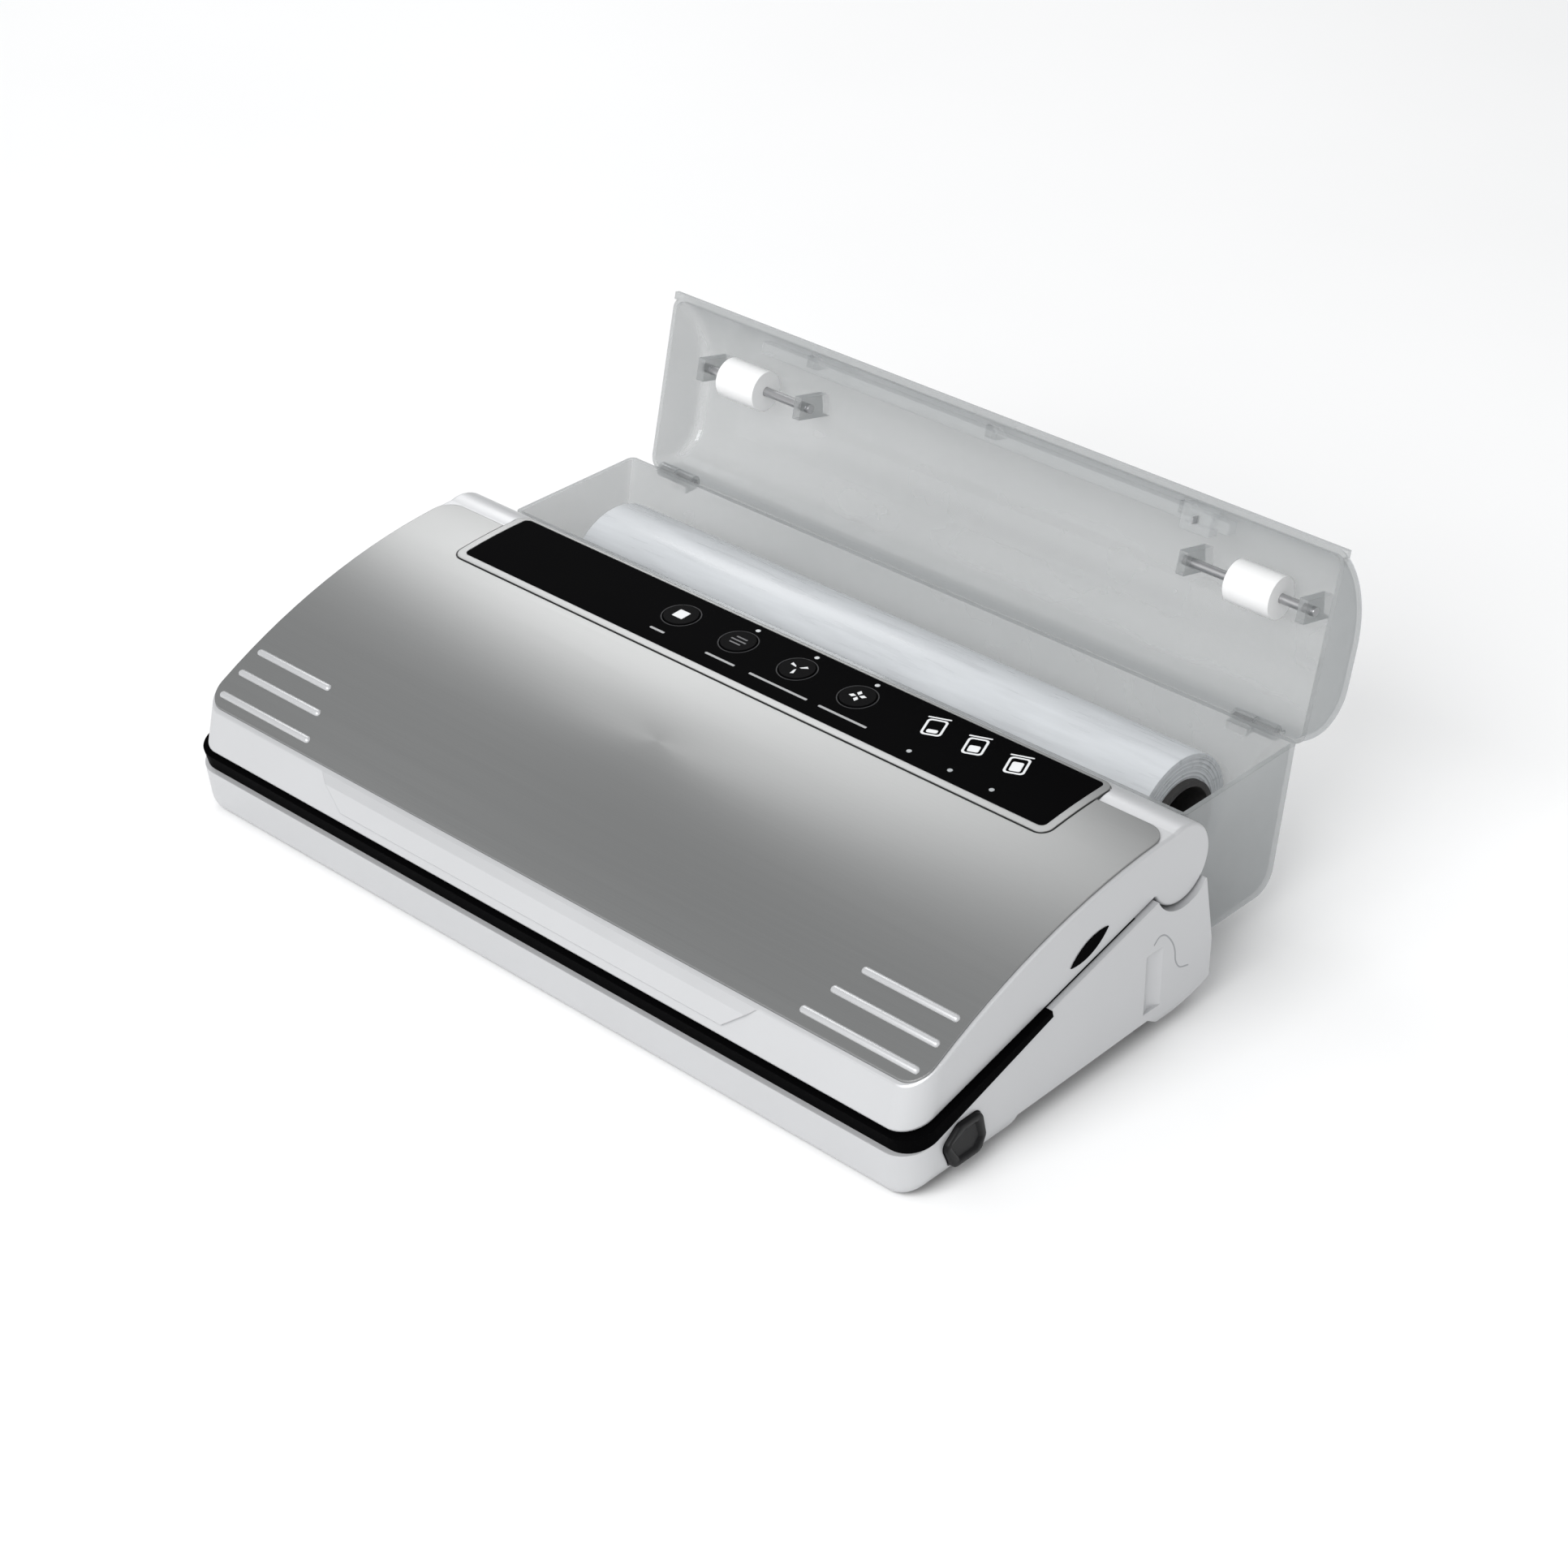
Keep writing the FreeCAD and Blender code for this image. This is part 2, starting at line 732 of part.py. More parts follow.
def soften(body, radius, chosen):
    """Round the chosen edges of a body and return it."""
    doc.recompute()
    tip = body.Tip
    names = [f"Edge{i}" for i, edge in enumerate(tip.Shape.Edges, start=1) if chosen(edge)]
    fillet = body.newObject("PartDesign::Fillet", body.Name + "_round")
    fillet.Base = (tip, names)
    bind(fillet, "Radius", radius)
    doc.recompute()
    return body


def on_ends(half, keep):
    """Return a test for edges on a piece's two end faces that pass a further test."""
    def chosen(edge):
        flat = all(abs(abs(v.X) - half.value) < TOLERANCE for v in edge.Vertexes)
        return flat and keep(edge.CenterOfMass)
    return chosen


def front_corners(half, low):
    """Return a test for edges above a height where a leaning front meets the two end faces."""
    ends = on_ends(half, lambda c: c.y < 0 and c.z > low.value)
    return lambda edge: ends(edge) and abs(edge.CenterOfMass.x) > TOLERANCE


def box(name, x, y, z):
    """Return a block between two limits on each axis."""
    block = doc.addObject("Part::Box", name)
    for side, base, (low, high) in zip(("Length", "Width", "Height"), "xyz", (x, y, z)):
        bind(block, side, as_size(high) - low)
        bind(block, f"Placement.Base.{base}", low)
    return block


TURNS = {
    "x": ("yz", Rotation(Vector(0, 1, 0), 90)),
    "y": ("xz", Rotation(Vector(1, 0, 0), -90)),
    "z": ("xy", Rotation(Vector(0, 0, 1), 0)),
}


def rod(name, axis, centre, radius, low, high):
    """Return a round bar along an axis, from low to high."""
    bar = doc.addObject("Part::Cylinder", name)
    others, turn = TURNS[axis]
    bar.Placement = Placement(Vector(0, 0, 0), turn)
    bind(bar, "Radius", radius)
    bind(bar, "Height", as_size(high) - low)
    bind(bar, f"Placement.Base.{axis}", low)
    for base, amount in zip(others, centre):
        bind(bar, f"Placement.Base.{base}", amount)
    return bar


def ball(name, radius, x, y, z):
    """Return a ball."""
    sphere = doc.addObject("Part::Sphere", name)
    bind(sphere, "Radius", radius)
    for base, amount in zip("xyz", (x, y, z)):
        bind(sphere, f"Placement.Base.{base}", amount)
    return sphere


def joined(name, shapes):
    """Return one solid made of several that overlap."""
    union = doc.addObject("Part::MultiFuse", name)
    union.Shapes = shapes
    union.Refine = True
    return union


def less(name, base, tools):
    """Return a shape with tools cut out of it."""
    cut = doc.addObject("Part::Cut", name)
    cut.Base = base
    cut.Tool = tools[0] if len(tools) == 1 else joined(name + "_tools", tools)
    cut.Refine = True
    return cut


def shared(name, first, second):
    """Return what two shapes have in common."""
    common = doc.addObject("Part::Common", name)
    common.Base = first
    common.Tool = second
    return common


def group(name, shapes):
    """Return separate solids held together as one node."""
    compound = doc.addObject("Part::Compound", name)
    compound.Links = shapes
    return compound


def tube(name, axis, centre, outer, inner, low, high):
    """Return a round tube along an axis."""
    wall = rod(name + "_outer", axis, centre, outer, low, high)
    hole = rod(name + "_bore", axis, centre, inner, low, high)
    return less(name, wall, [hole])


def ring(name, half, front, rear, width, low, high, radius):
    """Return a flat closed ring of a given width outside a rounded rectangle."""
    outer = plate(name + "_outer", half + width, front - width, rear + width, low, high, radius + width)
    inner = plate(name + "_inner", half, front, rear, low, high, radius)
    return less(name, outer, [inner])


def mirrored(side, low, high):
    """Return two limits across the width, on the right or the left."""
    low, high = as_size(low), as_size(high)
    return (low, high) if side > 0 else (-high, -low)


FRAMES = {
    "floor": ((0, -middle, 0), 0),
    "deck": ((0, -middle, d.deck_height), d.deck_slope),
    "box_lid": (
        (0, box_hinge_depth - middle, d.box_hinge_height),
        -(d.box_lid_lean + 90),
    ),
}


PLAIN_BLOCKS = ("Part::Box", "Part::Cylinder")


def seated(shape, base, tilt):
    """Put a shape at its place, tilted about the width."""
    tilt = as_size(tilt)
    shape.Placement = Placement(Vector(0, 0, 0), Rotation(Vector(1, 0, 0), tilt.value))
    for axis, amount in zip("xyz", base):
        bind(shape, f"Placement.Base.{axis}", amount)
    if tilt.value:
        bind(shape, "Placement.Rotation.Angle", tilt)
    return shape


def piece(label, shape, frame="floor"):
    """Name a finished sub-part and put it in its frame."""
    base, tilt = FRAMES[frame] if isinstance(frame, str) else frame
    if shape.TypeId in PLAIN_BLOCKS:
        shape = group(f"{label}_seat", [shape])
    seated(shape, base, tilt)
    shape.Label = label
    pieces[label] = shape
    return shape


# Base
band_low = deck_point(-d.base_front, -d.band_height)
band_end = deck_point(d.band_reach, -d.deck_plate)
band_grade = derived("band_grade", (band_end[1] - band_low[1]) / (band_end[0] - band_low[0]))
base_top_front = band_low[1] - (band_low[0] + d.base_front) * band_grade
hinge_centre = (d.hinge_depth, d.hinge_height)
pump_centre = (d.pump_depth, d.pump_height)
screw_spots = [
    (side * (half_base - d.boss_inset), depth)
    for side in SIDES.values()
    for depth in (d.front_screw_depth, rear_screw_depth)
]
box_screw_spots = [(side * box_pad_side, d.box_screw_height) for side in SIDES.values()]


def button_outline(margin):
    """Return the slanted six-sided outline of a release button, grown by a margin."""
    long = d.button_length / 2 + margin
    tall = d.button_tall / 2 + margin
    y, z = d.button_depth, button_height
    return [
        (y - long, z + d.button_slant / 2),
        (y - long + d.button_slant, z - tall),
        (y + long - d.button_slant / 2, z - tall),
        (y + long, z - d.button_slant / 2),
        (y + long - d.button_slant / 2, z + tall),
        (y - long + d.button_top_slant, z + tall),
    ]


def button_prism(name, side, margin, low, high):
    """Return a block of the release button's outline."""
    limits = mirrored(side, low, high)
    rounds = {i: d.button_round + margin for i in range(6)}
    return prism(name, "YZ_Plane", button_outline(margin), *limits, rounds=rounds)


def base_block():
    """Return the base's outer form, before it is hollowed."""
    ear_sine = sine(d.ear_angle)
    ear_cosine = cosine(d.ear_angle)
    corners = [
        (d.toe_back - d.base_front, d.base_ground),
        (d.front_foot_depth, d.base_ground),
        (d.front_foot_depth + d.arch_run, d.arch_front),
        (rear_foot_depth - d.rear_arch_run, d.arch_rear),
        (rear_foot_depth, d.rear_ground),
        (base_depth - d.heel_run, d.rear_ground),
        (base_depth, d.rear_ground + d.heel_rise),
        (base_depth, d.shoulder_height),
        (d.hinge_depth + cradle_radius * ear_cosine, d.hinge_height - cradle_radius * ear_sine),
        deck_point(hinge_reach - root(cradle_radius * cradle_radius - hinge_rise * hinge_rise), 0),
        deck_point(d.band_reach, 0),
        band_end,
        (-d.base_front, base_top_front),
    ]
    body = prism(
        "base_block", "YZ_Plane", corners, -half_base, half_base,
        arcs={8: (hinge_centre, cradle_radius, True)}, rounds={0: d.toe_round},
    )
    return soften(body, d.base_corner, front_corners(half_base, d.base_ground + d.toe_round))


def base_core():
    """Return the space inside the base."""
    inner = cradle_radius + d.base_wall
    under = d.deck_plate + d.seat_gap
    low = hinge_rise + under
    back = base_depth - d.base_wall
    rim = deck_reach + d.seat_gap
    corners = [
        (front_inner, -OVERRUN),
        (back, -OVERRUN),
        (back, d.shoulder_height - d.base_wall),
        (
            d.hinge_depth + inner * cosine(d.ear_root_angle),
            d.hinge_height - inner * sine(d.ear_root_angle),
        ),
        deck_point(hinge_reach - root(inner * inner - low * low), -under),
        deck_point(rim, -under),
        deck_point(rim, OVERRUN),
        (front_inner, d.hinge_height),
    ]
    body = prism(
        "base_core", "YZ_Plane", corners, -half_base_inner, half_base_inner,
        arcs={3: (hinge_centre, inner, True)},
    )
    return soften(body, d.base_corner - d.base_wall, upright_at(front_inner))


def hinge_post(name, side):
    """Return one post that stands on the cradle and carries the lid's pin."""
    middle_x = side * post_side
    limits = (middle_x - d.post_width / 2, middle_x + d.post_width / 2)
    eye = rod(name + "_eye", "x", hinge_centre, d.post_radius, *limits)
    leg = box(
        name + "_leg", limits,
        (d.hinge_depth - d.post_radius, d.hinge_depth + d.post_radius),
        (d.hinge_height - cradle_radius - d.base_wall / 2, d.hinge_height),
    )
    return joined(name, [eye, leg])


def make_base_shell():
    """Silver lower housing with hinge posts, screw bosses and button openings."""
    shell = less("base_walls", base_block(), [base_core()])
    added = [hinge_post(f"post_{name}", side) for name, side in SIDES.items()]
    for i, spot in enumerate(screw_spots):
        added.append(rod(f"base_boss_{i}", "z", spot, d.boss_radius, floor_top, d.boss_height))
    solid = joined("base_solid", [shell] + added)
    flute_half = d.flute_width / 2
    flute_radius = (flute_half * flute_half + d.flute_cut * d.flute_cut) / (d.flute_cut * 2)
    cuts = []
    for name, side in SIDES.items():
        inside = half_base_inner - OVERRUN
        cuts.append(button_prism(f"button_hole_{name}", side, d.button_gap, inside, half_base + OVERRUN))
        spot = (side * (half_base - d.flute_cut + flute_radius), flute_depth + flute_half)
        cuts.append(rod(f"flute_{name}", "z", spot, flute_radius, d.flute_low, d.flute_high))
    bore = d.hinge_pin_radius + d.running_clearance
    cuts.append(rod("post_bore", "x", hinge_centre, bore, -half_base, half_base))
    wall = (base_depth - d.base_wall - OVERRUN, base_depth + OVERRUN)
    grommet = (grommet_side, d.grommet_height)
    cuts.append(rod("grommet_hole", "y", grommet, d.grommet_radius, *wall))
    for i, spot in enumerate(box_screw_spots):
        cuts.append(rod(f"box_screw_hole_{i}", "y", spot, d.box_screw_radius, *wall))
    for i, spot in enumerate(screw_spots):
        cuts.append(rod(f"boss_bore_{i}", "z", spot, d.screw_radius, 0, d.floor_height + d.screw_length))
    piece("base_shell", less("base_shell", solid, cuts))


def make_floor_cover():
    """Underside plate with screw holes, board posts and spring stops."""
    half = half_base_inner - d.seat_gap
    front = front_inner + d.seat_gap
    rear = base_depth - d.base_wall - d.seat_gap
    radius = d.base_corner - d.base_wall
    added = [plate("floor_plate", half, front, rear, d.floor_height, floor_top, radius)]
    for i, spot in enumerate(board_posts()):
        top = floor_top + d.power_board_lift
        added.append(rod(f"board_post_{i}", "z", spot, d.board_post_radius, d.floor_height, top))
    for name, side in SIDES.items():
        stop = spring_start - d.hook_thickness
        added.append(box(
            f"spring_stop_{name}", mirrored(side, stop, spring_start),
            (d.button_depth - d.spring_stop_width / 2, d.button_depth + d.spring_stop_width / 2),
            (d.floor_height, spring_height + d.spring_radius),
        ))
    holes = []
    room = d.button_flange + d.hook_slot_gap
    for name, side in SIDES.items():
        holes.append(box(
            f"floor_notch_{name}", mirrored(side, flange_inner - d.button_travel - room, half_base),
            (d.button_depth - d.button_length / 2 - room, d.button_depth + d.button_length / 2 + room),
            (0, floor_top + OVERRUN),
        ))
    for i, spot in enumerate(screw_spots):
        radius = d.screw_radius + d.screw_clearance
        holes.append(rod(f"floor_hole_{i}", "z", spot, radius, 0, floor_top + OVERRUN))
    piece("floor_cover", less("floor_cover", joined("floor_solid", added), holes))


def board_posts():
    """Return the places of the four posts under the power board."""
    inset = d.board_post_radius
    return [
        (x, y)
        for x in (d.power_board_left + inset, d.power_board_right - inset)
        for y in (d.power_board_front + inset, d.power_board_rear - inset)
    ]


def make_feet_and_screws():
    """Rubber feet under the floor cover and the screws that hold it."""
    feet = []
    for name, side in SIDES.items():
        for place, depth in (("front", d.front_foot_place), ("rear", rear_foot_place)):
            spot = (side * foot_side, depth)
            feet.append(rod(f"foot_{place}_{name}", "z", spot, d.foot_radius, 0, d.floor_height))
    piece("rubber_feet", group("rubber_feet", feet))
    screws = []
    for i, spot in enumerate(screw_spots):
        head_low = d.floor_height - d.screw_head
        head = rod(f"floor_screw_head_{i}", "z", spot, d.screw_head_radius, head_low, d.floor_height)
        shank = rod(
            f"floor_screw_shank_{i}", "z", spot, d.screw_radius, head_low, d.floor_height + d.screw_length
        )
        screws.append(joined(f"floor_screw_{i}", [head, shank]))
    piece("floor_screws", group("floor_screws", screws))


def make_grommet():
    """Rubber inlet in the base's rear wall."""
    spot = (grommet_side, d.grommet_height)
    inner = base_depth - d.base_wall
    flange = d.grommet_radius + d.grommet_lip
    solid = joined("grommet_solid", [
        rod("grommet_sleeve", "y", spot, d.grommet_radius, inner - d.grommet_lip, base_depth),
        rod("grommet_outer", "y", spot, flange, base_depth, base_depth + d.grommet_lip),
        rod("grommet_inner", "y", spot, flange, inner - d.grommet_lip, inner),
    ])
    bore = rod("grommet_bore", "y", spot, d.grommet_bore, inner - OVERRUN, base_depth + OVERRUN)
    piece("cord_grommet", less("cord_grommet", solid, [bore]))


# Deck, vacuum chamber and sealing bar, all on the slope
trough_front = d.trough_reach - d.trough_width / 2
trough_rear = d.trough_reach + d.trough_width / 2
seal_front = d.seal_reach - d.seal_width / 2
seal_rear = d.seal_reach + d.seal_width / 2
nozzle_end = -d.trough_depth - d.deck_plate - d.nozzle_length
hose_height = derived("hose_height", floor_top + d.nozzle_radius + d.hose_floor_gap)
hose_bend = derived(
    "hose_bend", (deck_point(d.trough_reach, nozzle_end)[1] - hose_height) / (1 - slope_sine)
)
hook_inner = hook_side - d.hook_thickness / 2
hook_outer = hook_side + d.hook_thickness / 2
hook_front = d.hook_reach - d.hook_width / 2
hook_rear = d.hook_reach + d.hook_width / 2


def chamber_ring(name, low, high):
    """Return the ring that a chamber gasket fills."""
    margin = d.gasket_margin
    return ring(
        name, half_trough + margin, trough_front - margin, trough_rear + margin,
        d.gasket_width, low, high, d.trough_corner + margin,
    )


def chamber(name, low, high):
    """Return the space of the vacuum chamber between two rises."""
    return plate(name, half_trough, trough_front, trough_rear, low, high, d.trough_corner)


def make_deck():
    """Black deck whose thick edge shows between the lid and the base."""
    band = prism(
        "deck_band", "YZ_Plane",
        [
            (-d.base_front, -d.band_height),
            (d.band_reach, -d.deck_plate),
            (d.band_reach, 0),
            (-d.base_front, 0),
        ],
        -half_deck, half_deck,
    )
    soften(band, d.base_corner, upright_at(-d.base_front))
    half_under = half_base_inner - d.seat_gap
    under = plate(
        "deck_under", half_deck - d.deck_lip, d.deck_lip - d.base_front, d.band_reach + OVERRUN,
        -d.band_height, -d.deck_plate, d.base_corner - d.deck_lip,
    )
    rear_y = (d.band_reach - OVERRUN, deck_reach)
    rear = box("deck_rear", (-half_under, half_under), rear_y, (-d.deck_plate, 0))
    wall = d.deck_plate
    tub = box(
        "deck_tub", (-half_trough - wall, half_trough + wall),
        (trough_front - wall, trough_rear + wall), (-d.trough_depth - wall, -d.deck_plate / 2),
    )
    solid = joined("deck_solid", [less("deck_edge", band, [under]), rear, tub])
    cuts = [
        chamber("trough", -d.trough_depth, OVERRUN),
        chamber_ring("deck_groove", -d.gasket_groove, OVERRUN),
        box("seal_slot", (-half_seal, half_seal), (seal_front, seal_rear), (-d.seal_slot, OVERRUN)),
        rod("nozzle_hole", "z", (nozzle_side, d.trough_reach), d.nozzle_radius, -d.trough_depth - OVERRUN, 0),
    ]
    gap = d.hook_slot_gap
    for name, side in SIDES.items():
        cuts.append(box(
            f"hook_slot_{name}", mirrored(side, hook_inner - d.hook_barb - gap, hook_outer + gap),
            (hook_front - gap, hook_rear + d.hook_swing_gap), (-d.band_height - OVERRUN, OVERRUN),
        ))
    piece("deck", less("deck", solid, cuts), "deck")


def make_sealing_bar():
    """Bar, heating strip and non-stick tape across the deck's front."""
    top = d.seal_proud
    bar = box("seal_bar", (-half_seal, half_seal), (seal_front, seal_rear), (-d.seal_slot, top))
    piece("seal_bar", bar, "deck")
    strip_top = top + d.heat_strip_thickness
    half_strip = d.heat_strip_width / 2
    strip = box(
        "heating_strip", (-half_seal, half_seal),
        (d.seal_reach - half_strip, d.seal_reach + half_strip), (top, strip_top),
    )
    piece("heating_strip", strip, "deck")
    tape_z = (strip_top, strip_top + d.tape_thickness)
    tape = box("seal_tape", (-half_seal, half_seal), (seal_front, seal_rear), tape_z)
    piece("seal_tape", tape, "deck")


def make_gaskets():
    """Foam rings round the chamber, one on the deck and one on the lid's liner."""
    piece("lower_gasket", chamber_ring("lower_gasket", -d.gasket_groove, d.gasket_proud), "deck")
    low = d.gasket_proud + d.gasket_gap
    high = d.liner_rise + d.gasket_groove
    piece("upper_gasket", chamber_ring("upper_gasket", low, high), "deck")


def make_vacuum_line():
    """Nozzle under the chamber and the hose from it to the pump."""
    spot = (nozzle_side, d.trough_reach)
    bottom = -d.trough_depth - d.deck_plate
    end = nozzle_end
    solid = joined("nozzle_solid", [
        rod("nozzle_stem", "z", spot, d.nozzle_radius, end, -d.trough_depth),
        rod("nozzle_flange", "z", spot, d.nozzle_flange, bottom - d.hose_wall, bottom),
    ])
    bore = rod("nozzle_bore", "z", spot, d.nozzle_bore, end - OVERRUN, OVERRUN)
    piece("vacuum_nozzle", less("vacuum_nozzle", solid, [bore]), "deck")

    body = doc.addObject("PartDesign::Body", "vacuum_hose")
    start = deck_point(d.trough_reach, end)
    bend_centre = (start[0] + hose_bend * slope_cosine, start[1] + hose_bend * slope_sine)
    bend_end = (bend_centre[0], hose_height)
    port = d.pump_depth - d.pump_width / 2
    spine = attached_sketch(body, "YZ_Plane", "hose_path", nozzle_side)
    centre = Vector(bend_centre[0].value, bend_centre[1].value, 0)
    first = Vector(start[0].value, start[1].value, 0)
    second = Vector(bend_end[0].value, bend_end[1].value, 0)
    bend = bend_between(spine, centre, first, second, False)
    run = spine.addGeometry(Part.LineSegment(second, Vector(port.value, second.y, 0)))
    spine.addConstraint([
        Sketcher.Constraint("Tangent", bend[0], bend[2], run, 1),
        Sketcher.Constraint("Horizontal", run),
    ])
    held(spine, "DistanceX", (-1, 1, bend[0], 3), bend_centre[0])
    held(spine, "DistanceY", (-1, 1, bend[0], 3), bend_centre[1])
    held(spine, "Radius", (bend[0],), hose_bend)
    held(spine, "DistanceX", (-1, 1, bend[0], bend[1]), start[0])
    held(spine, "DistanceX", (-1, 1, run, 2), port)
    section = attached_sketch(body, "XZ_Plane", "hose_section", -port)
    for radius in (d.nozzle_radius, d.nozzle_bore):
        middle_spot = Vector(nozzle_side.value, second.y, 0)
        circle = section.addGeometry(Part.Circle(middle_spot, Vector(0, 0, 1), radius.value))
        held(section, "Radius", (circle,), radius)
        held(section, "DistanceX", (-1, 1, circle, 3), nozzle_side)
        held(section, "DistanceY", (-1, 1, circle, 3), bend_end[1])
    pipe = body.newObject("PartDesign::AdditivePipe", "hose_pipe")
    pipe.Profile = section
    pipe.Spine = (spine, ["Edge1", "Edge2"])
    piece("vacuum_hose", body)


# Pump, power supply, valve and switch inside the base
def make_pump():
    """Motor on its cradle, pump head with its cover, and the turning shaft."""
    face = motor_face
    rear = face - d.motor_length
    motor = rod("pump_motor", "x", pump_centre, d.motor_radius, rear, face)
    piece("pump_motor", motor)
    half = d.cradle_width / 2
    block = box(
        "cradle_block", (rear, face), (d.pump_depth - half, d.pump_depth + half),
        (floor_top, floor_top + d.cradle_height),
    )
    saddle = rod("cradle_saddle", "x", pump_centre, d.motor_radius, rear - OVERRUN, face + OVERRUN)
    piece("pump_cradle", less("pump_cradle", block, [saddle]))
    front = face + d.pump_length
    half = d.pump_width / 2
    pump_y = (d.pump_depth - half, d.pump_depth + half)
    pump_z = (d.pump_low, d.pump_high)
    head = box("pump_block", (face, front), pump_y, pump_z)
    shaft_hole = d.shaft_radius + d.running_clearance
    cuts = [
        rod("pump_chamber", "x", pump_centre, d.pump_bore, face + d.pump_back_wall, front + OVERRUN),
        rod("pump_shaft_hole", "x", pump_centre, shaft_hole, face - OVERRUN, front),
        rod("pump_port", "y", (nozzle_side, hose_height), d.nozzle_bore, port_rear(), d.pump_depth),
    ]
    piece("pump_head", less("pump_head", head, cuts))
    cover = box("pump_cover", (front, front + d.pump_cover_plate), pump_y, pump_z)
    piece("pump_cover", cover)
    shaft = rod("shaft_bar", "x", pump_centre, d.shaft_radius, face + d.shaft_gap, front - d.pump_cover_plate)
    cam_centre = (d.pump_depth, d.pump_height + d.eccentric_offset)
    cam_start = face + d.eccentric_start
    cam = rod("shaft_cam", "x", cam_centre, d.eccentric_radius, cam_start, cam_start + d.eccentric_length)
    piece("pump_shaft", joined("pump_shaft", [shaft, cam]))


def port_rear():
    """Return the depth just ahead of the pump head's front face."""
    return d.pump_depth - d.pump_width / 2 - OVERRUN


def make_power_supply():
    """Transformer, winding and power board on the floor cover."""
    left = core_side - d.core_length / 2
    right = core_side + d.core_length / 2
    low = floor_top
    high = core_top
    mid_left = core_side - d.core_middle_leg / 2
    mid_right = core_side + d.core_middle_leg / 2
    window = (low + d.core_yoke, high - d.core_yoke)
    deep = (d.core_front, d.core_rear)
    block = box("core_block", (left, right), deep, (low, high))
    through = (d.core_front - OVERRUN, d.core_rear + OVERRUN)
    windows = [
        box("core_window_left", (left + d.core_leg, mid_left), through, window),
        box("core_window_right", (mid_right, right - d.core_leg), through, window),
    ]
    piece("transformer_core", less("transformer_core", block, windows))
    coil = box(
        "winding_block", (left + d.core_leg, right - d.core_leg),
        (d.core_front - d.winding_overhang, d.core_rear + d.winding_overhang), window,
    )
    leg = box("winding_hole", (mid_left, mid_right), deep, (low, high))
    piece("transformer_winding", less("transformer_winding", coil, [leg]))
    base = floor_top + d.power_board_lift
    top = base + d.board_thickness
    board = box(
        "power_board_plate", (d.power_board_left, d.power_board_right),
        (d.power_board_front, d.power_board_rear), (base, top),
    )
    spot = (d.power_board_left + d.capacitor_inset, d.pump_depth)
    capacitor = rod("capacitor", "z", spot, d.capacitor_radius, base, top + d.capacitor_height)
    relay_end = d.power_board_right - d.relay_inset
    relay_x = (relay_end - d.relay_length, relay_end)
    relay_y = (d.pump_depth, d.pump_depth + d.relay_width)
    relay = box("relay", relay_x, relay_y, (base, top + d.relay_height))
    piece("power_board", joined("power_board", [board, capacitor, relay]))


def make_valve_and_switch():
    """Vent valve on the floor cover and lid switch under the deck."""
    spot = (d.valve_side, d.valve_depth)
    top = d.deck_height - d.valve_drop
    valve = joined("vent_valve", [
        rod("valve_coil", "z", spot, d.valve_radius, floor_top, top),
        rod("valve_stem", "z", spot, d.valve_stem_radius, floor_top, top + d.valve_stem),
    ])
    piece("vent_valve", valve)
    switch_side = hook_inner - d.switch_inset
    switch = box(
        "lid_switch", (switch_side - d.switch_length / 2, switch_side + d.switch_length / 2),
        (hook_front, hook_front + d.switch_width), (-d.deck_plate - d.switch_height, -d.deck_plate),
    )
    piece("lid_switch", switch, "deck")


# Release buttons
flange_outer = half_base_inner - d.seat_gap
flange_inner = flange_outer - d.button_flange_thickness
spring_start = flange_inner - d.spring_length
coil_run = d.spring_length - d.spring_wire


def coil_spring(name, side):
    """Return a coil spring that lies across the width behind a release button."""
    body = doc.addObject("PartDesign::Body", name)
    section = attached_sketch(body, "XY_Plane", name + "_wire", 0)
    spot = Vector(0, d.spring_radius.value, 0)
    circle = section.addGeometry(Part.Circle(spot, Vector(0, 0, 1), d.spring_wire.value / 2))
    held(section, "Radius", (circle,), d.spring_wire / 2)
    held(section, "DistanceY", (-1, 1, circle, 3), d.spring_radius)
    section.addConstraint(Sketcher.Constraint("PointOnObject", circle, 3, -2))
    coil = body.newObject("PartDesign::AdditiveHelix", name + "_coil")
    coil.Profile = section
    coil.ReferenceAxis = (section, ["H_Axis"])
    bind(coil, "Pitch", coil_run / d.spring_turns)
    bind(coil, "Height", coil_run)
    low = mirrored(side, spring_start, flange_inner)[0] + d.spring_wire / 2
    return piece(name, body, ((low, d.button_depth - middle, spring_height), 0))


def make_release_buttons():
    """Black side buttons with the latch plates and springs behind them."""
    for name, side in SIDES.items():
        cap = button_prism(f"release_cap_{name}", side, 0, flange_outer, half_base + d.button_proud)
        flange = button_prism(f"release_flange_{name}", side, d.button_flange, flange_inner, flange_outer)
        piece(f"release_button_{name}", joined(f"release_button_{name}", [cap, flange]))
        slab = box(
            f"latch_slab_{name}", mirrored(side, flange_inner - d.latch_length, flange_inner),
            (latch_middle - d.latch_width / 2, latch_middle + d.latch_width / 2),
            (latch_top - d.latch_thickness, latch_top),
        )
        window = box(
            f"latch_window_{name}", mirrored(side, hook_inner, hook_inner + d.latch_window_length),
            (latch_middle - d.latch_window_width / 2, latch_middle + d.latch_window_width / 2),
            (0, d.hinge_height),
        )
        piece(f"latch_plate_{name}", less(f"latch_plate_{name}", slab, [window]))
        coil_spring(f"release_spring_{name}", side)


latch_middle = deck_point(d.hook_reach, -d.hook_drop)[0]


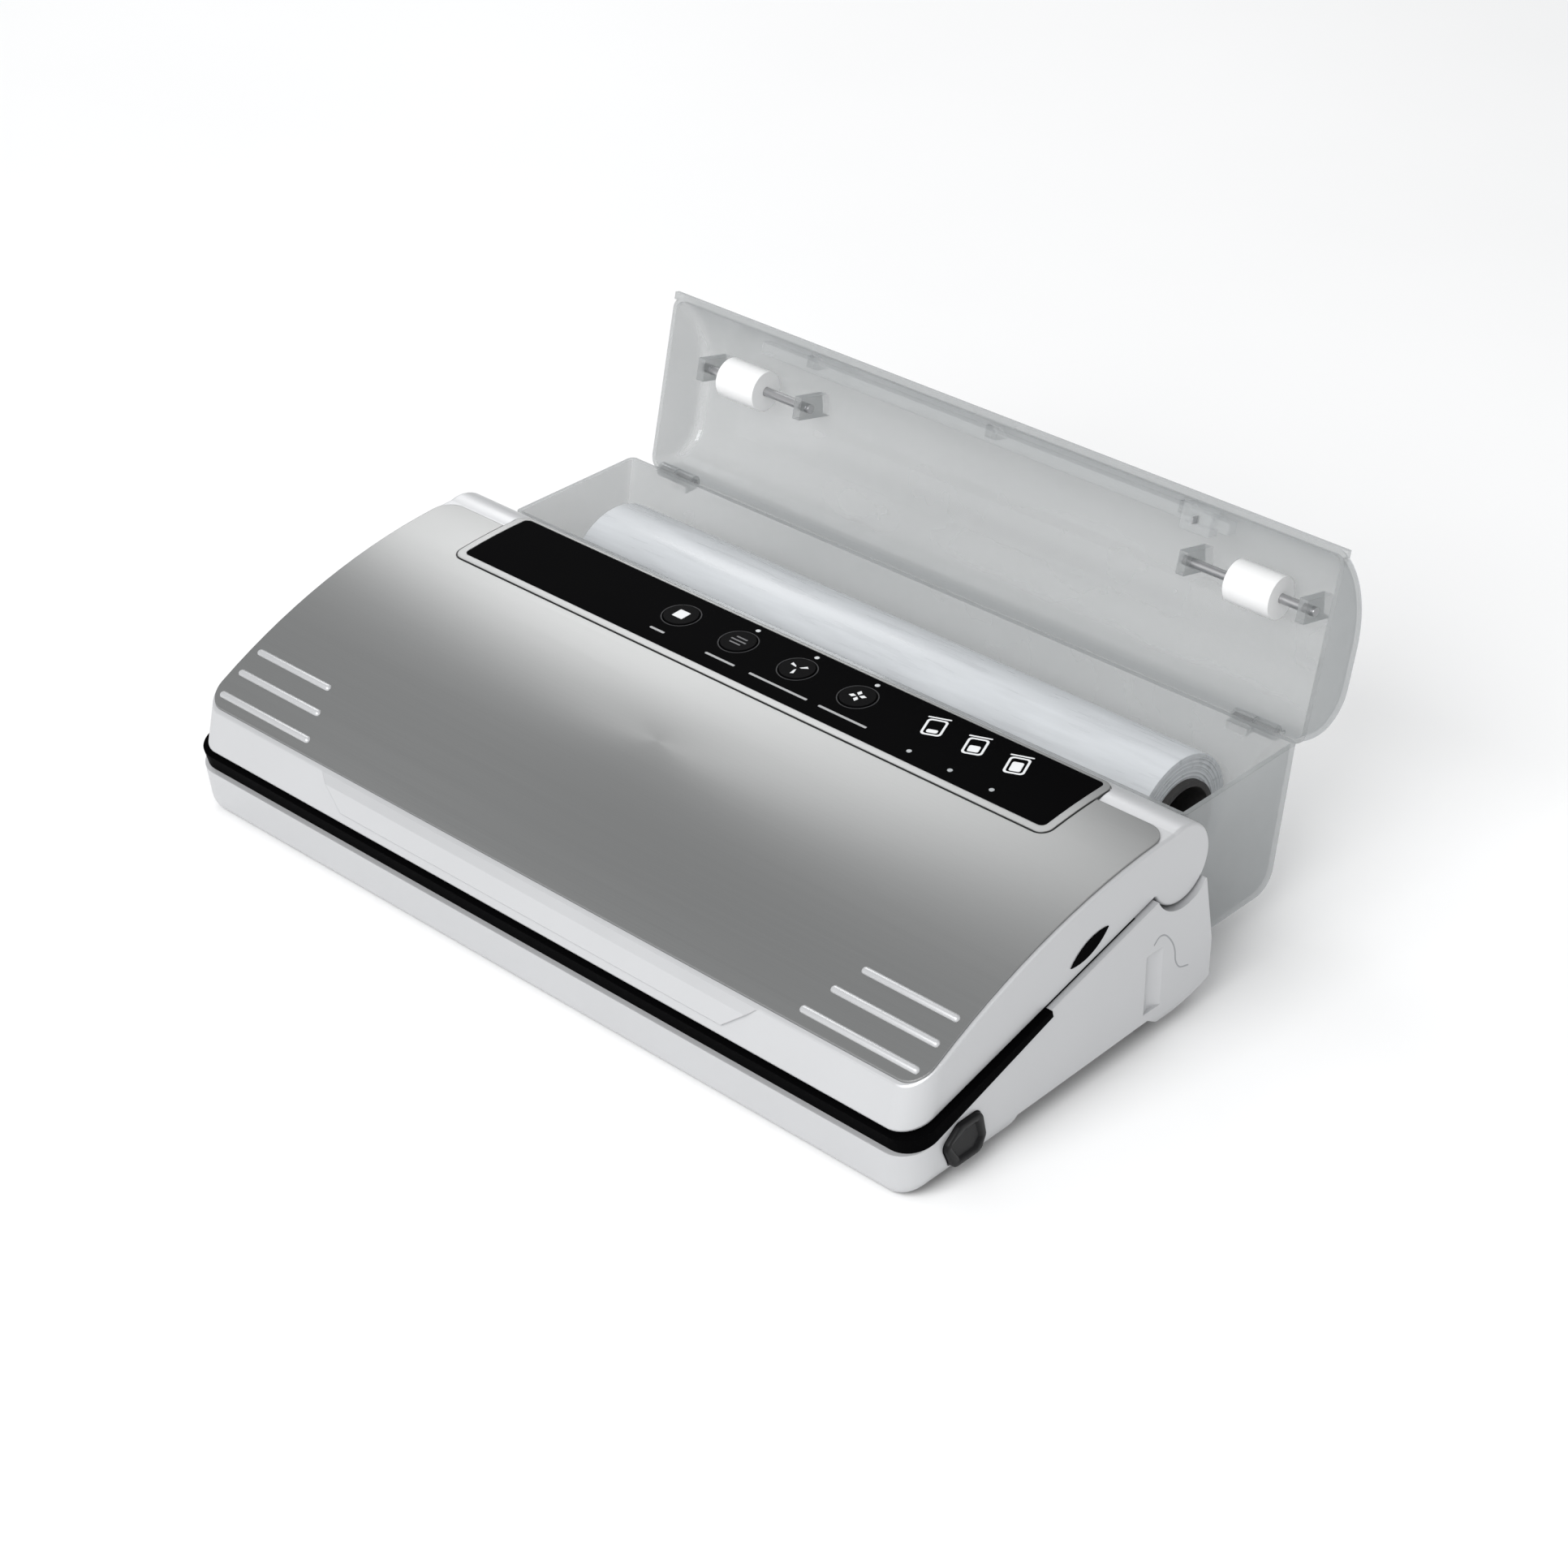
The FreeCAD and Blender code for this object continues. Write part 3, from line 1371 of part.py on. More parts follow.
# Sealing lid
top_arc_centre = (d.hinge_depth, top_centre)
void_radius = d.barrel_radius - d.lid_wall
bezel_half = panel_half + d.bezel_side
bezel_front = panel_front - d.bezel_front
bezel_rear = panel_rear + d.bezel_rear
recess_radius = top_radius - d.panel_recess
panel_top = top_radius + d.panel_proud
keys = {
    "stop_key": 0,
    "seal_key": 1,
    "vacuum_key": 2,
    "mode_key": 3,
}


def lid_block():
    """Return the lid's outer form, before it is hollowed."""
    gap = hinge_rise - d.lid_gap
    span = d.hinge_height - top_centre
    above = (frame_radius * frame_radius - d.barrel_radius * d.barrel_radius + span * span) / (span * 2)
    across = root(frame_radius * frame_radius - above * above)
    corners = [
        (-d.lid_nose, lid_low),
        (0, top_height(as_size(0), frame_radius)),
        (d.hinge_depth - across, top_centre + above),
        deck_point(hinge_reach - root(d.barrel_radius * d.barrel_radius - gap * gap), d.lid_gap),
    ]
    body = prism(
        "lid_block", "YZ_Plane", corners, -half_lid, half_lid,
        arcs={
            1: (top_arc_centre, frame_radius, True),
            2: (hinge_centre, d.barrel_radius, True),
        },
        held_axes={2: "", 3: "x"},
    )
    soften(body, d.lid_corner, front_corners(half_lid, lid_low))
    behind_corner = d.lid_corner.value + TOLERANCE
    return soften(body, d.lid_edge_round, on_ends(half_lid, lambda c: c.y > behind_corner))


def lid_core():
    """Return the hollow under the lid's top."""
    inner = frame_radius - d.lid_top_wall
    corners = [
        (d.lid_wall, 0),
        (d.lid_wall, top_height(d.lid_wall, inner)),
        (lid_core_depth, top_height(lid_core_depth, inner)),
        (lid_core_depth, d.deck_height),
    ]
    body = prism(
        "lid_core", "YZ_Plane", corners, -half_lid_inner, half_lid_inner,
        arcs={1: (top_arc_centre, inner, True)},
    )
    return soften(body, d.lid_corner - d.lid_wall, upright_at(d.lid_wall))


def barrel_cuts():
    """Return the hollows, post notches and pin bores of the lid's barrel."""
    notch_half = d.post_width / 2 + d.post_side_gap
    inner = post_side - notch_half
    outer = post_side + notch_half
    sweep = d.post_radius + d.post_sweep_gap
    web = d.web_thickness
    pin = d.hinge_pin_radius
    low = d.hinge_height - d.barrel_radius - OVERRUN
    link_y = (lid_core_depth - OVERRUN, d.hinge_depth)
    link_z = (d.hinge_height - pin, d.hinge_height + pin)
    cuts = [
        rod("barrel_void", "x", hinge_centre, void_radius, web - inner, inner - web),
        box("barrel_link", (web * 2 - inner, inner - web * 2), link_y, link_z),
    ]
    for name, side in SIDES.items():
        notch_x = mirrored(side, inner, outer)
        end_x = mirrored(side, outer + web, half_lid_inner)
        cuts.append(rod(f"notch_eye_{name}", "x", hinge_centre, sweep, *notch_x))
        cuts.append(box(
            f"notch_{name}", notch_x,
            (d.hinge_depth - sweep, d.hinge_depth + d.barrel_radius + OVERRUN),
            (low, d.hinge_height + d.notch_rise),
        ))
        cuts.append(rod(f"barrel_end_void_{name}", "x", hinge_centre, void_radius, *end_x))
        cuts.append(box(f"barrel_end_link_{name}", end_x, link_y, link_z))
        pin_x = mirrored(side, inner - web - OVERRUN, outer + web + OVERRUN)
        cuts.append(rod(f"barrel_bore_{name}", "x", hinge_centre, pin, *pin_x))
    return cuts


def grip():
    """Return the lip under the middle of the lid's front edge."""
    half = half_grip
    face = prism(
        "grip_face", "XZ_Plane",
        [
            (d.grip_taper - half, d.grip_low),
            (half - d.grip_taper, d.grip_low),
            (half, d.lid_front_top),
            (-half, d.lid_front_top),
        ],
        -OVERRUN, d.lid_nose + d.lid_wall,
    )
    side = prism(
        "grip_side", "YZ_Plane",
        [
            (d.lid_wall / 2, d.grip_low),
            (d.lid_wall / 2, top_height(as_size(0), frame_radius)),
            (0, top_height(as_size(0), frame_radius)),
            ((d.grip_shoulder - d.lid_front_top) * front_lean - d.grip_proud, d.grip_shoulder),
            ((d.grip_low - d.lid_front_top) * front_lean - d.grip_proud, d.grip_low),
        ],
        -half, half,
    )
    return shared("grip", face, side)


def liner_screw_spots():
    """Return where screws pass through the liner, along the width and the deck."""
    return [
        (side * liner_screw_side, reach)
        for side in SIDES.values()
        for reach in (d.hook_reach, lid_core_depth - d.hook_reach)
    ]


def lid_bosses(block):
    """Return the screw bosses that hang from the lid's top, trimmed to its form."""
    bars = []
    for i, spot in enumerate(liner_screw_spots()):
        bar = rod(f"lid_boss_bar_{i}", "z", spot, d.boss_radius, liner_top, d.hinge_height)
        hole = rod(f"lid_boss_hole_{i}", "z", spot, d.screw_radius, 0, liner_top + d.liner_screw_length)
        bars.append(less(f"lid_boss_{i}", bar, [hole]))
    tilted = seated(group("lid_boss_group", bars), (0, 0, d.deck_height), d.deck_slope)
    return shared("lid_bosses", tilted, block)


def inlay_block(name, side, low, high):
    """Return a lens-shaped block on the lid's side."""
    long = d.inlay_length / 2
    tall = d.inlay_width / 2
    radius = (long * long + tall * tall) / (tall * 2)
    away = radius - tall
    lens = prism(
        name, "YZ_Plane", [(-long, 0), (long, 0)], *mirrored(side, low, high),
        arcs={0: ((0, away), radius, False), 1: ((0, -away), radius, False)},
        held_axes={0: "", 1: ""},
    )
    return seated(lens, (0, d.inlay_depth, inlay_height), d.inlay_tilt)


def bezel_cut(name, inner):
    """Return the opening that the panel's bezel drops into."""
    gap = d.bezel_groove
    return curved_plate(
        name, bezel_half + gap, bezel_front - gap, bezel_rear + gap,
        inner, top_radius + OVERRUN, d.bezel_corner + gap,
    )


def make_lid_frame():
    """Silver lid body with its hinge barrel, grip, panel recess and screw bosses."""
    block = lid_block()
    hollow = less("lid_walls", block, [lid_core()])
    posts = [
        rod(f"panel_post_{name}", "z", (side * board_post_side, board_post_depth),
            d.board_post_radius, well_floor - d.board_lift, board_height)
        for name, side in SIDES.items()
    ]
    well_z = (well_floor, crest_height + OVERRUN)
    well = box("panel_well", (-half_well, half_well), (well_front, well_rear), well_z)
    cuts = barrel_cuts() + [bezel_cut("bezel_recess", recess_radius), well]
    for name, side in SIDES.items():
        cuts.append(inlay_block(f"inlay_recess_{name}", side, half_lid - d.inlay_recess, half_lid + OVERRUN))
    opened = less("lid_opened", hollow, cuts)
    piece("lid_frame", joined("lid_frame", [opened, grip(), lid_bosses(block)] + posts))


def rib(name, side, number):
    """Return one embossed bar near the lid's front corner, before it is trimmed."""
    depth = d.rib_first_depth + number * d.rib_pitch
    height = top_height(depth, top_radius - d.rib_radius + d.rib_proud)
    outer = half_lid - d.rib_edge_gap
    inner = outer - d.rib_length + number * d.rib_shortening
    bar = rod(f"{name}_bar", "x", (depth, height), d.rib_radius, *mirrored(side, inner, outer))
    ends = [
        ball(f"{name}_{place}", d.rib_radius, side * x, depth, height)
        for place, x in (("inner", inner), ("outer", outer))
    ]
    return joined(name, [bar] + ends)


def make_lid_skin():
    """Brushed sheet over the lid's top, with embossed bars at the front corners."""
    rear = d.hinge_depth - d.skin_stop
    half = half_lid - d.skin_inset
    plan = (half, d.skin_inset, rear, frame_radius)
    sheet = curved_plate("skin_sheet", *plan, top_radius, d.skin_corner)
    over = curved_plate("skin_over", *plan, top_radius + OVERRUN, d.skin_corner)
    bars = [rib(f"rib_{name}_{i}", side, i) for name, side in SIDES.items() for i in range(3)]
    embossed = shared("rib_tops", joined("ribs", bars), over)
    solid = joined("skin_solid", [sheet, embossed])
    piece("lid_skin", less("lid_skin", solid, [bezel_cut("skin_opening", frame_radius - OVERRUN)]))


def make_inlays():
    """Black lens shapes set into the lid's sides."""
    ovals = []
    for name, side in SIDES.items():
        low = half_lid - d.inlay_recess
        ovals.append(inlay_block(f"inlay_{name}", side, low, half_lid + d.inlay_proud))
    piece("side_inlays", group("side_inlays", ovals))


def make_lid_liner():
    """Plate that closes the lid from below and carries the upper gasket."""
    half = half_lid_inner - d.seat_gap
    front = (d.lid_wall + liner_top * slope_sine) / slope_cosine + d.seat_gap
    rear = (lid_core_depth + d.liner_rise * slope_sine) / slope_cosine - d.seat_gap
    low, high = d.liner_rise, liner_top
    slab = plate("liner_slab", half, front, rear, low, high, d.lid_corner - d.lid_wall)
    cuts = [
        chamber("liner_chamber", low - OVERRUN, low + d.gasket_groove),
        chamber_ring("liner_groove", low - OVERRUN, low + d.gasket_groove),
        box(
            "strip_slot", (-half_seal, half_seal), (seal_front, seal_rear),
            (low - OVERRUN, low + d.strip_slot),
        ),
    ]
    for name, side in SIDES.items():
        cuts.append(box(
            f"hook_hole_{name}", mirrored(side, hook_inner, hook_outer), (hook_front, hook_rear),
            (low - OVERRUN, high + OVERRUN),
        ))
    for i, spot in enumerate(liner_screw_spots()):
        radius = d.screw_radius + d.screw_clearance
        cuts.append(rod(f"liner_hole_{i}", "z", spot, radius, low - OVERRUN, high + OVERRUN))
    piece("lid_liner", less("lid_liner", slab, cuts), "deck")
    screws = []
    for i, spot in enumerate(liner_screw_spots()):
        head_low = low - d.liner_screw_head
        end = high + d.liner_screw_length
        head = rod(f"liner_screw_head_{i}", "z", spot, d.screw_head_radius, head_low, low)
        shank = rod(f"liner_screw_shank_{i}", "z", spot, d.screw_radius, head_low, end)
        screws.append(joined(f"liner_screw_{i}", [head, shank]))
    piece("liner_screws", group("liner_screws", screws), "deck")


def make_pressure_strip():
    """Silicone strip that presses the film on the sealing bar."""
    low = d.seal_proud + d.heat_strip_thickness + d.tape_thickness + d.strip_gap
    high = d.liner_rise + d.strip_slot
    strip = box("pressure_strip", (-half_seal, half_seal), (seal_front, seal_rear), (low, high))
    piece("pressure_strip", strip, "deck")


def make_hooks():
    """Hooks that hang from the lid through the deck's slots."""
    hooks = []
    for name, side in SIDES.items():
        reach = (hook_front, hook_rear)
        bottom = -d.hook_drop
        shank = box(f"hook_shank_{name}", mirrored(side, hook_inner, hook_outer), reach, (bottom, liner_top))
        barb = box(
            f"hook_barb_{name}", mirrored(side, hook_inner - d.hook_barb, hook_outer), reach,
            (bottom, bottom + d.hook_barb_height),
        )
        foot = box(
            f"hook_foot_{name}",
            mirrored(side, hook_inner - d.hook_thickness, hook_outer + d.hook_thickness),
            (hook_front - d.hook_foot, hook_rear + d.hook_foot), (liner_top, liner_top + d.hook_foot),
        )
        hooks.append(joined(f"hook_{name}", [shank, barb, foot]))
    piece("lid_hooks", group("lid_hooks", hooks), "deck")


def make_hinge_pins():
    """Steel pins pressed into the lid's barrel and turning in the posts."""
    reach = d.post_width / 2 + d.post_side_gap + d.web_thickness
    pins = []
    for name, side in SIDES.items():
        limits = mirrored(side, post_side - reach, post_side + reach)
        pins.append(rod(f"hinge_pin_{name}", "x", hinge_centre, d.hinge_pin_radius, *limits))
    piece("lid_hinge_pins", group("lid_hinge_pins", pins))


# Control panel
def key_side(number):
    """Return a key's place across the width."""
    return d.key_first + number * d.key_pitch


def lamp_spots():
    """Return the places of the small indicator lamps."""
    beside_keys = [(key_side(number), lamp_rear_depth) for number in (1, 2, 3)]
    beside_bags = [
        (bag_lamp_first + number * d.bag_lamp_pitch, lamp_front_depth) for number in range(3)
    ]
    return beside_keys + beside_bags


def key_place(number):
    """Return the frame of a key: on the panel, tilted square to it."""
    height = top_height(key_depth, panel_top)
    return (key_side(number), key_depth - middle, height), key_tilt


def make_panel():
    """Black panel in a silver bezel, with openings for keys and lamps."""
    bezel = curved_plate(
        "bezel_plate", bezel_half, bezel_front, bezel_rear, recess_radius,
        top_radius + d.bezel_proud, d.bezel_corner,
    )
    fit = d.panel_fit
    window = curved_plate(
        "bezel_window", panel_half + fit, panel_front - fit, panel_rear + fit,
        recess_radius - OVERRUN, top_radius + OVERRUN, d.panel_corner + fit,
    )
    piece("panel_bezel", less("panel_bezel", bezel, [window]))
    slab = curved_plate(
        "panel_slab", panel_half, panel_front, panel_rear, recess_radius, panel_top, d.panel_corner
    )
    holes = []
    for name, number in keys.items():
        bar = rod(f"{name}_bar", "z", (0, 0), d.key_radius + d.key_gap, -OVERRUN, OVERRUN)
        spot = (key_side(number), key_depth, top_height(key_depth, panel_top))
        holes.append(seated(group(f"{name}_hole", [bar]), spot, key_tilt))
    for i, spot in enumerate(lamp_spots()):
        holes.append(rod(f"lamp_hole_{i}", "z", spot, d.lamp_radius, board_height, crest_height + OVERRUN))
    piece("panel_plate", less("panel_plate", slab, holes))
    lamps = []
    for i, spot in enumerate(lamp_spots()):
        top = top_height(spot[1], panel_top) + d.panel_proud
        lamps.append(rod(f"lamp_{i}", "z", spot, d.lamp_radius, top - d.lamp_drop, top))
    piece("indicator_lamps", group("indicator_lamps", lamps))


def make_keys():
    """Round keys that travel in the panel, each over a switch on the board."""
    for name, number in keys.items():
        under = -d.panel_recess - d.panel_proud - d.key_gap
        flange_low = under - d.key_flange_thickness
        spot = (0, 0)
        cap = rod(f"{name}_cap", "z", spot, d.key_radius, under, d.key_proud)
        flange = rod(f"{name}_flange", "z", spot, d.key_radius + d.key_flange, flange_low, under)
        stem = rod(f"{name}_stem", "z", spot, d.key_stem_radius, flange_low - d.key_stem, flange_low)
        piece(name, joined(name, [cap, flange, stem]), key_place(number))


def make_control_board():
    """Board under the panel with one small switch below each key."""
    half = half_board
    top = board_height + d.board_thickness
    board = box("control_board", (-half, half), (board_front, board_rear), (board_height, top))
    piece("control_board", board)
    half = d.tact_size / 2
    switches = [
        box(
            f"tact_{number}", (key_side(number) - half, key_side(number) + half),
            (key_depth - half, key_depth + half), (top, top + d.tact_height),
        )
        for number in keys.values()
    ]
    piece("key_switches", group("key_switches", switches))


# Film box
box_hinge = (box_hinge_depth, d.box_hinge_height)


def tray(name, half, wall, top):
    """Return the film box's form, drawn in on every side by a wall."""
    corners = [
        (box_front + wall, top),
        (box_rear - wall, top),
        (box_rear - d.box_rear_draft - wall, d.box_floor + wall),
        (box_front + d.box_front_draft + wall, d.box_floor + wall),
    ]
    rounds = {2: d.box_rear_round - wall, 3: d.box_front_round - wall}
    return prism(name, "YZ_Plane", corners, -half, half, rounds=rounds)


def make_film_box():
    """Clear tray behind the base, with pads for its screws and hinge knuckles."""
    outer = tray("tray_outer", half_box, as_size(0), box_rim)
    rim = box_rim.value
    soften(outer, d.box_end_round, on_ends(half_box, lambda c: c.z < rim - TOLERANCE))
    inner = tray("tray_inner", half_box - d.box_wall, d.box_wall, box_rim)
    walls = less("tray_walls", outer, [inner])
    added = []
    for name, side in SIDES.items():
        pad_half = d.box_pad_width / 2
        added.append(box(
            f"tray_pad_{name}", mirrored(side, box_pad_side - pad_half, box_pad_side + pad_half),
            (base_depth, box_front + d.box_front_draft + d.box_wall / 2), (d.box_pad_low, d.box_pad_high),
        ))
        limits = mirrored(side, knuckle_side, knuckle_side + d.knuckle_length)
        added.append(rod(f"tray_knuckle_{name}", "x", box_hinge, d.knuckle_radius, *limits))
        added.append(box(
            f"tray_web_{name}", limits, (box_rear - d.box_wall, box_hinge_depth),
            (d.box_hinge_height - d.knuckle_radius, d.box_hinge_height),
        ))
    solid = joined("tray_solid", [walls] + added)
    cuts = [rod("tray_pin_bore", "x", box_hinge, d.box_pin_radius, -half_box, half_box)]
    for i, spot in enumerate(box_screw_spots):
        end = base_depth + d.box_screw_length
        cuts.append(rod(f"tray_screw_bore_{i}", "y", spot, d.box_screw_radius, base_depth - OVERRUN, end))
    piece("film_box", less("film_box", solid, cuts))
    screws = []
    for i, spot in enumerate(box_screw_spots):
        back = base_depth - d.base_wall
        end = box_front + d.box_front_draft + d.box_wall
        head = rod(f"box_screw_head_{i}", "y", spot, d.screw_head_radius, back - d.screw_head, back)
        shank = rod(f"box_screw_shank_{i}", "y", spot, d.box_screw_radius, back - d.screw_head, end)
        screws.append(joined(f"box_screw_{i}", [head, shank]))
    piece("box_screws", group("box_screws", screws))
    pins = []
    for name, side in SIDES.items():
        end = knuckle_side + d.knuckle_length * 2 + d.knuckle_gap
        limits = mirrored(side, knuckle_side, end)
        pins.append(rod(f"box_pin_{name}", "x", box_hinge, d.box_pin_radius, *limits))
    piece("box_hinge_pins", group("box_hinge_pins", pins))


# Film box lid, drawn shut with its hinge at the origin
rear_bend = (d.box_lid_back - d.dome_rear_radius, d.dome_height - d.dome_rear_radius)
front_bend = (-d.dome_crest_front, d.dome_height - d.dome_front_radius)
rail_rear = d.rail_width / 2 - d.rail_run
rail_front = -d.rail_width / 2 - d.rail_run
rail_top = d.rail_low + d.rail_height


def dome(name, half, wall, low, round_radius):
    """Return the lid's dome, drawn in on every side by a wall."""
    front = wall - d.box_lid_front
    front_radius = d.dome_front_radius - wall
    away = front - front_bend[0]
    corners = [
        (d.box_lid_back - wall, low),
        (d.box_lid_back - wall, rear_bend[1]),
        (rear_bend[0], d.dome_height - wall),
        (front_bend[0], d.dome_height - wall),
        (front, front_bend[1] + root(front_radius * front_radius - away * away)),
        (front, low),
    ]
    body = prism(
        name, "YZ_Plane", corners, -half, half,
        arcs={
            1: (rear_bend, d.dome_rear_radius - wall, False),
            3: (front_bend, front_radius, False),
        },
        held_axes={1: "y", 2: "x", 3: "x", 4: "x"},
    )
    return soften(body, round_radius, on_ends(half, lambda c: c.z > low.value + TOLERANCE))


def make_box_lid():
    """Clear domed lid with a rim bead, knuckles, roller brackets and rail tabs."""
    outer = dome("dome_outer", half_box_lid, as_size(0), d.box_lid_rim, d.dome_end_round)
    wall = d.box_lid_wall
    inner = dome("dome_inner", half_box_lid - wall, wall, d.box_lid_rim - OVERRUN, d.dome_end_round - wall)
    walls = less("dome_walls", outer, [inner])
    front = -d.box_lid_front
    added = [box(
        "rim_bead", (-half_box_lid, half_box_lid), (front - d.rim_bead, front + wall),
        (d.box_lid_rim, d.box_lid_rim + d.rim_bead_height),
    )]
    inserts = []
    run = -d.roller_run
    for name, side in SIDES.items():
        start = knuckle_side + d.knuckle_length + d.knuckle_gap
        limits = mirrored(side, start, start + d.knuckle_length)
        added.append(rod(f"lid_knuckle_{name}", "x", (0, 0), d.knuckle_radius, *limits))
        added.append(box(f"lid_web_{name}", limits, (0, d.box_lid_back), (0, d.box_lid_rim + wall)))
        for place, middle_x in (("inner", bracket_inner_side), ("outer", bracket_outer_side)):
            half = d.bracket_thickness / 2
            inserts.append(box(
                f"bracket_{place}_{name}", mirrored(side, middle_x - half, middle_x + half),
                (run - d.bracket_width / 2, run + d.bracket_width / 2),
                (d.roller_rise - d.bracket_width / 2, d.dome_height),
            ))
    for i in (-1, 0, 1):
        tab = i * rail_tab_side
        inserts.append(box(
            f"rail_tab_{i + 1}", (tab - d.rail_tab_length / 2, tab + d.rail_tab_length / 2),
            (rail_front, rail_rear), (rail_top, d.dome_height),
        ))
    trimmed = shared("dome_inserts", group("dome_insert_group", inserts), outer)
    solid = joined("dome_solid", [walls, trimmed] + added)
    pin = d.box_pin_radius + d.running_clearance
    cuts = [
        rod("lid_pin_bore", "x", (0, 0), pin, -half_box_lid, half_box_lid),
        rod("axle_bore", "x", (run, d.roller_rise), d.axle_radius, -axle_stop, axle_stop),
    ]
    piece("box_lid", less("box_lid", solid, cuts), "box_lid")


axle_start = bracket_inner_side - d.bracket_thickness / 2 - d.axle_end
axle_stop = bracket_outer_side + d.bracket_thickness / 2 + d.axle_end


def make_rollers():
    """White guide rollers on short axles between the lid's brackets."""
    centre = (-d.roller_run, d.roller_rise)
    axles = []
    for name, side in SIDES.items():
        axles.append(rod(f"axle_{name}", "x", centre, d.axle_radius, *mirrored(side, axle_start, axle_stop)))
        limits = mirrored(side, roller_side - d.roller_length / 2, roller_side + d.roller_length / 2)
        bore = d.axle_radius + d.running_clearance
        wheel = tube(f"guide_roller_{name}", "x", centre, d.roller_radius, bore, *limits)
        piece(f"guide_roller_{name}", wheel, "box_lid")
    piece("roller_axles", group("roller_axles", axles), "box_lid")


def make_cutter():
    """Cutter rail inside the lid's front edge, with its slider and blade."""
    half = half_rail
    rail = box("cutter_rail", (-half, half), (rail_front, rail_rear), (d.rail_low, rail_top))
    piece("cutter_rail", rail, "box_lid")
    gap = d.cutter_gap
    wall = d.cutter_wall
    limits = (cutter_rest - d.cutter_length / 2, cutter_rest + d.cutter_length / 2)
    low = d.rail_low - gap - wall
    block = box(
        "slider_block", limits, (rail_front - gap - wall, rail_rear + gap + wall),
        (low, d.rail_low + d.cutter_hold),
    )
    channel = box(
        "slider_channel", (limits[0] - OVERRUN, limits[1] + OVERRUN),
        (rail_front - gap, rail_rear + gap), (d.rail_low - gap, rail_top),
    )
    half_blade = d.blade_thickness / 2
    half_width = d.blade_width / 2
    blade_x = (cutter_rest - half_blade, cutter_rest + half_blade)
    blade_y = (-d.rail_run - half_width, half_width - d.rail_run)
    slot = box("slider_slot", blade_x, blade_y, (low, low + d.blade_seat))
    piece("cutter_slider", less("cutter_slider", block, [channel, slot]), "box_lid")
    blade = box("cutter_blade", blade_x, blade_y, (low - d.blade_proud, low + d.blade_seat))
    piece("cutter_blade", blade, "box_lid")


def make_film_roll():
    """Roll of film on its card core, lying in the box."""
    half = half_roll
    centre = (roll_depth, roll_height)
    piece("film_roll", tube("film_roll", "x", centre, d.roll_radius, d.core_radius, -half, half))
    end = half + d.core_overhang
    piece("roll_core", tube("roll_core", "x", centre, d.core_radius, d.core_radius - d.core_wall, -end, end))


def write_parts():
    """Check every object, then write one file for each sub-part."""
    doc.recompute()
    failed = [o.Name for o in doc.Objects if {"Invalid", "Error"} & set(o.State)]
    if failed:
        raise RuntimeError(f"objects left failed: {failed}")
    for label, shape in pieces.items():
        if shape.Shape.isNull() or not shape.Shape.isValid() or not shape.Shape.Solids:
            raise RuntimeError(f"{label} has no valid shape")
    os.makedirs("parts", exist_ok=True)
    for label, shape in pieces.items():
        shape.Shape.exportStep(os.path.join("parts", f"{label}.step"))
        print(label, len(shape.Shape.Solids), round(shape.Shape.Volume / 1000, 2), "cm3")


make_base_shell()
make_floor_cover()
make_feet_and_screws()
make_grommet()
make_deck()
make_sealing_bar()
make_gaskets()
make_vacuum_line()
make_pump()
make_power_supply()
make_valve_and_switch()
make_release_buttons()
make_lid_frame()
make_lid_skin()
make_inlays()
make_lid_liner()
make_pressure_strip()
make_hooks()
make_hinge_pins()
make_panel()
make_keys()
make_control_board()
make_film_box()
make_box_lid()
make_rollers()
make_cutter()
make_film_roll()
write_parts()
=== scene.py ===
import json
import logging
import math
import random
from dataclasses import dataclass
from enum import Enum
from typing import Callable, Iterable

import bmesh
import bpy
from mathutils import Matrix, Vector


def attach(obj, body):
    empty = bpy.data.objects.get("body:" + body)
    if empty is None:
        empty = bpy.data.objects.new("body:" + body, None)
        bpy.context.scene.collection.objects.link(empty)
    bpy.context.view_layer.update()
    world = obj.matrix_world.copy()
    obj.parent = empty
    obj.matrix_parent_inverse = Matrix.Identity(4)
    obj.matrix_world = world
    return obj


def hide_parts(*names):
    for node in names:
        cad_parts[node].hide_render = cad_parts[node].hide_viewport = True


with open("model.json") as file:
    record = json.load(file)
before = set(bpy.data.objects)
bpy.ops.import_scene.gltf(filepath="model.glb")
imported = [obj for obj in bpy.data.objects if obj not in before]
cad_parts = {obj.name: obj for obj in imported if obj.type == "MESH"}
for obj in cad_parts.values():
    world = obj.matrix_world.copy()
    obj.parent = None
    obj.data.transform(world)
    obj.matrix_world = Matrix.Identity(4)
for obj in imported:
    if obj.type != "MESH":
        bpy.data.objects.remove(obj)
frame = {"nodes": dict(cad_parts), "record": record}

LOG = logging.getLogger("vacuum_sealer")
MM = 0.001
SHARP_ANGLE = math.radians(35)
WIDTHWAYS = Vector((1, 0, 0))
Colour = tuple[float, float, float]
Spot = tuple[float, float]
Socket = bpy.types.NodeSocket


class Body(str, Enum):
    """Bodies of the part that new pieces ride on."""

    BASE = "base"
    LID = "lid"
    ROLL = "roll"
    RELEASE_RIGHT = "release_right"
    RELEASE_LEFT = "release_left"
    STOP_KEY = "stop_key"
    SEAL_KEY = "seal_key"
    VACUUM_KEY = "vacuum_key"
    MODE_KEY = "mode_key"


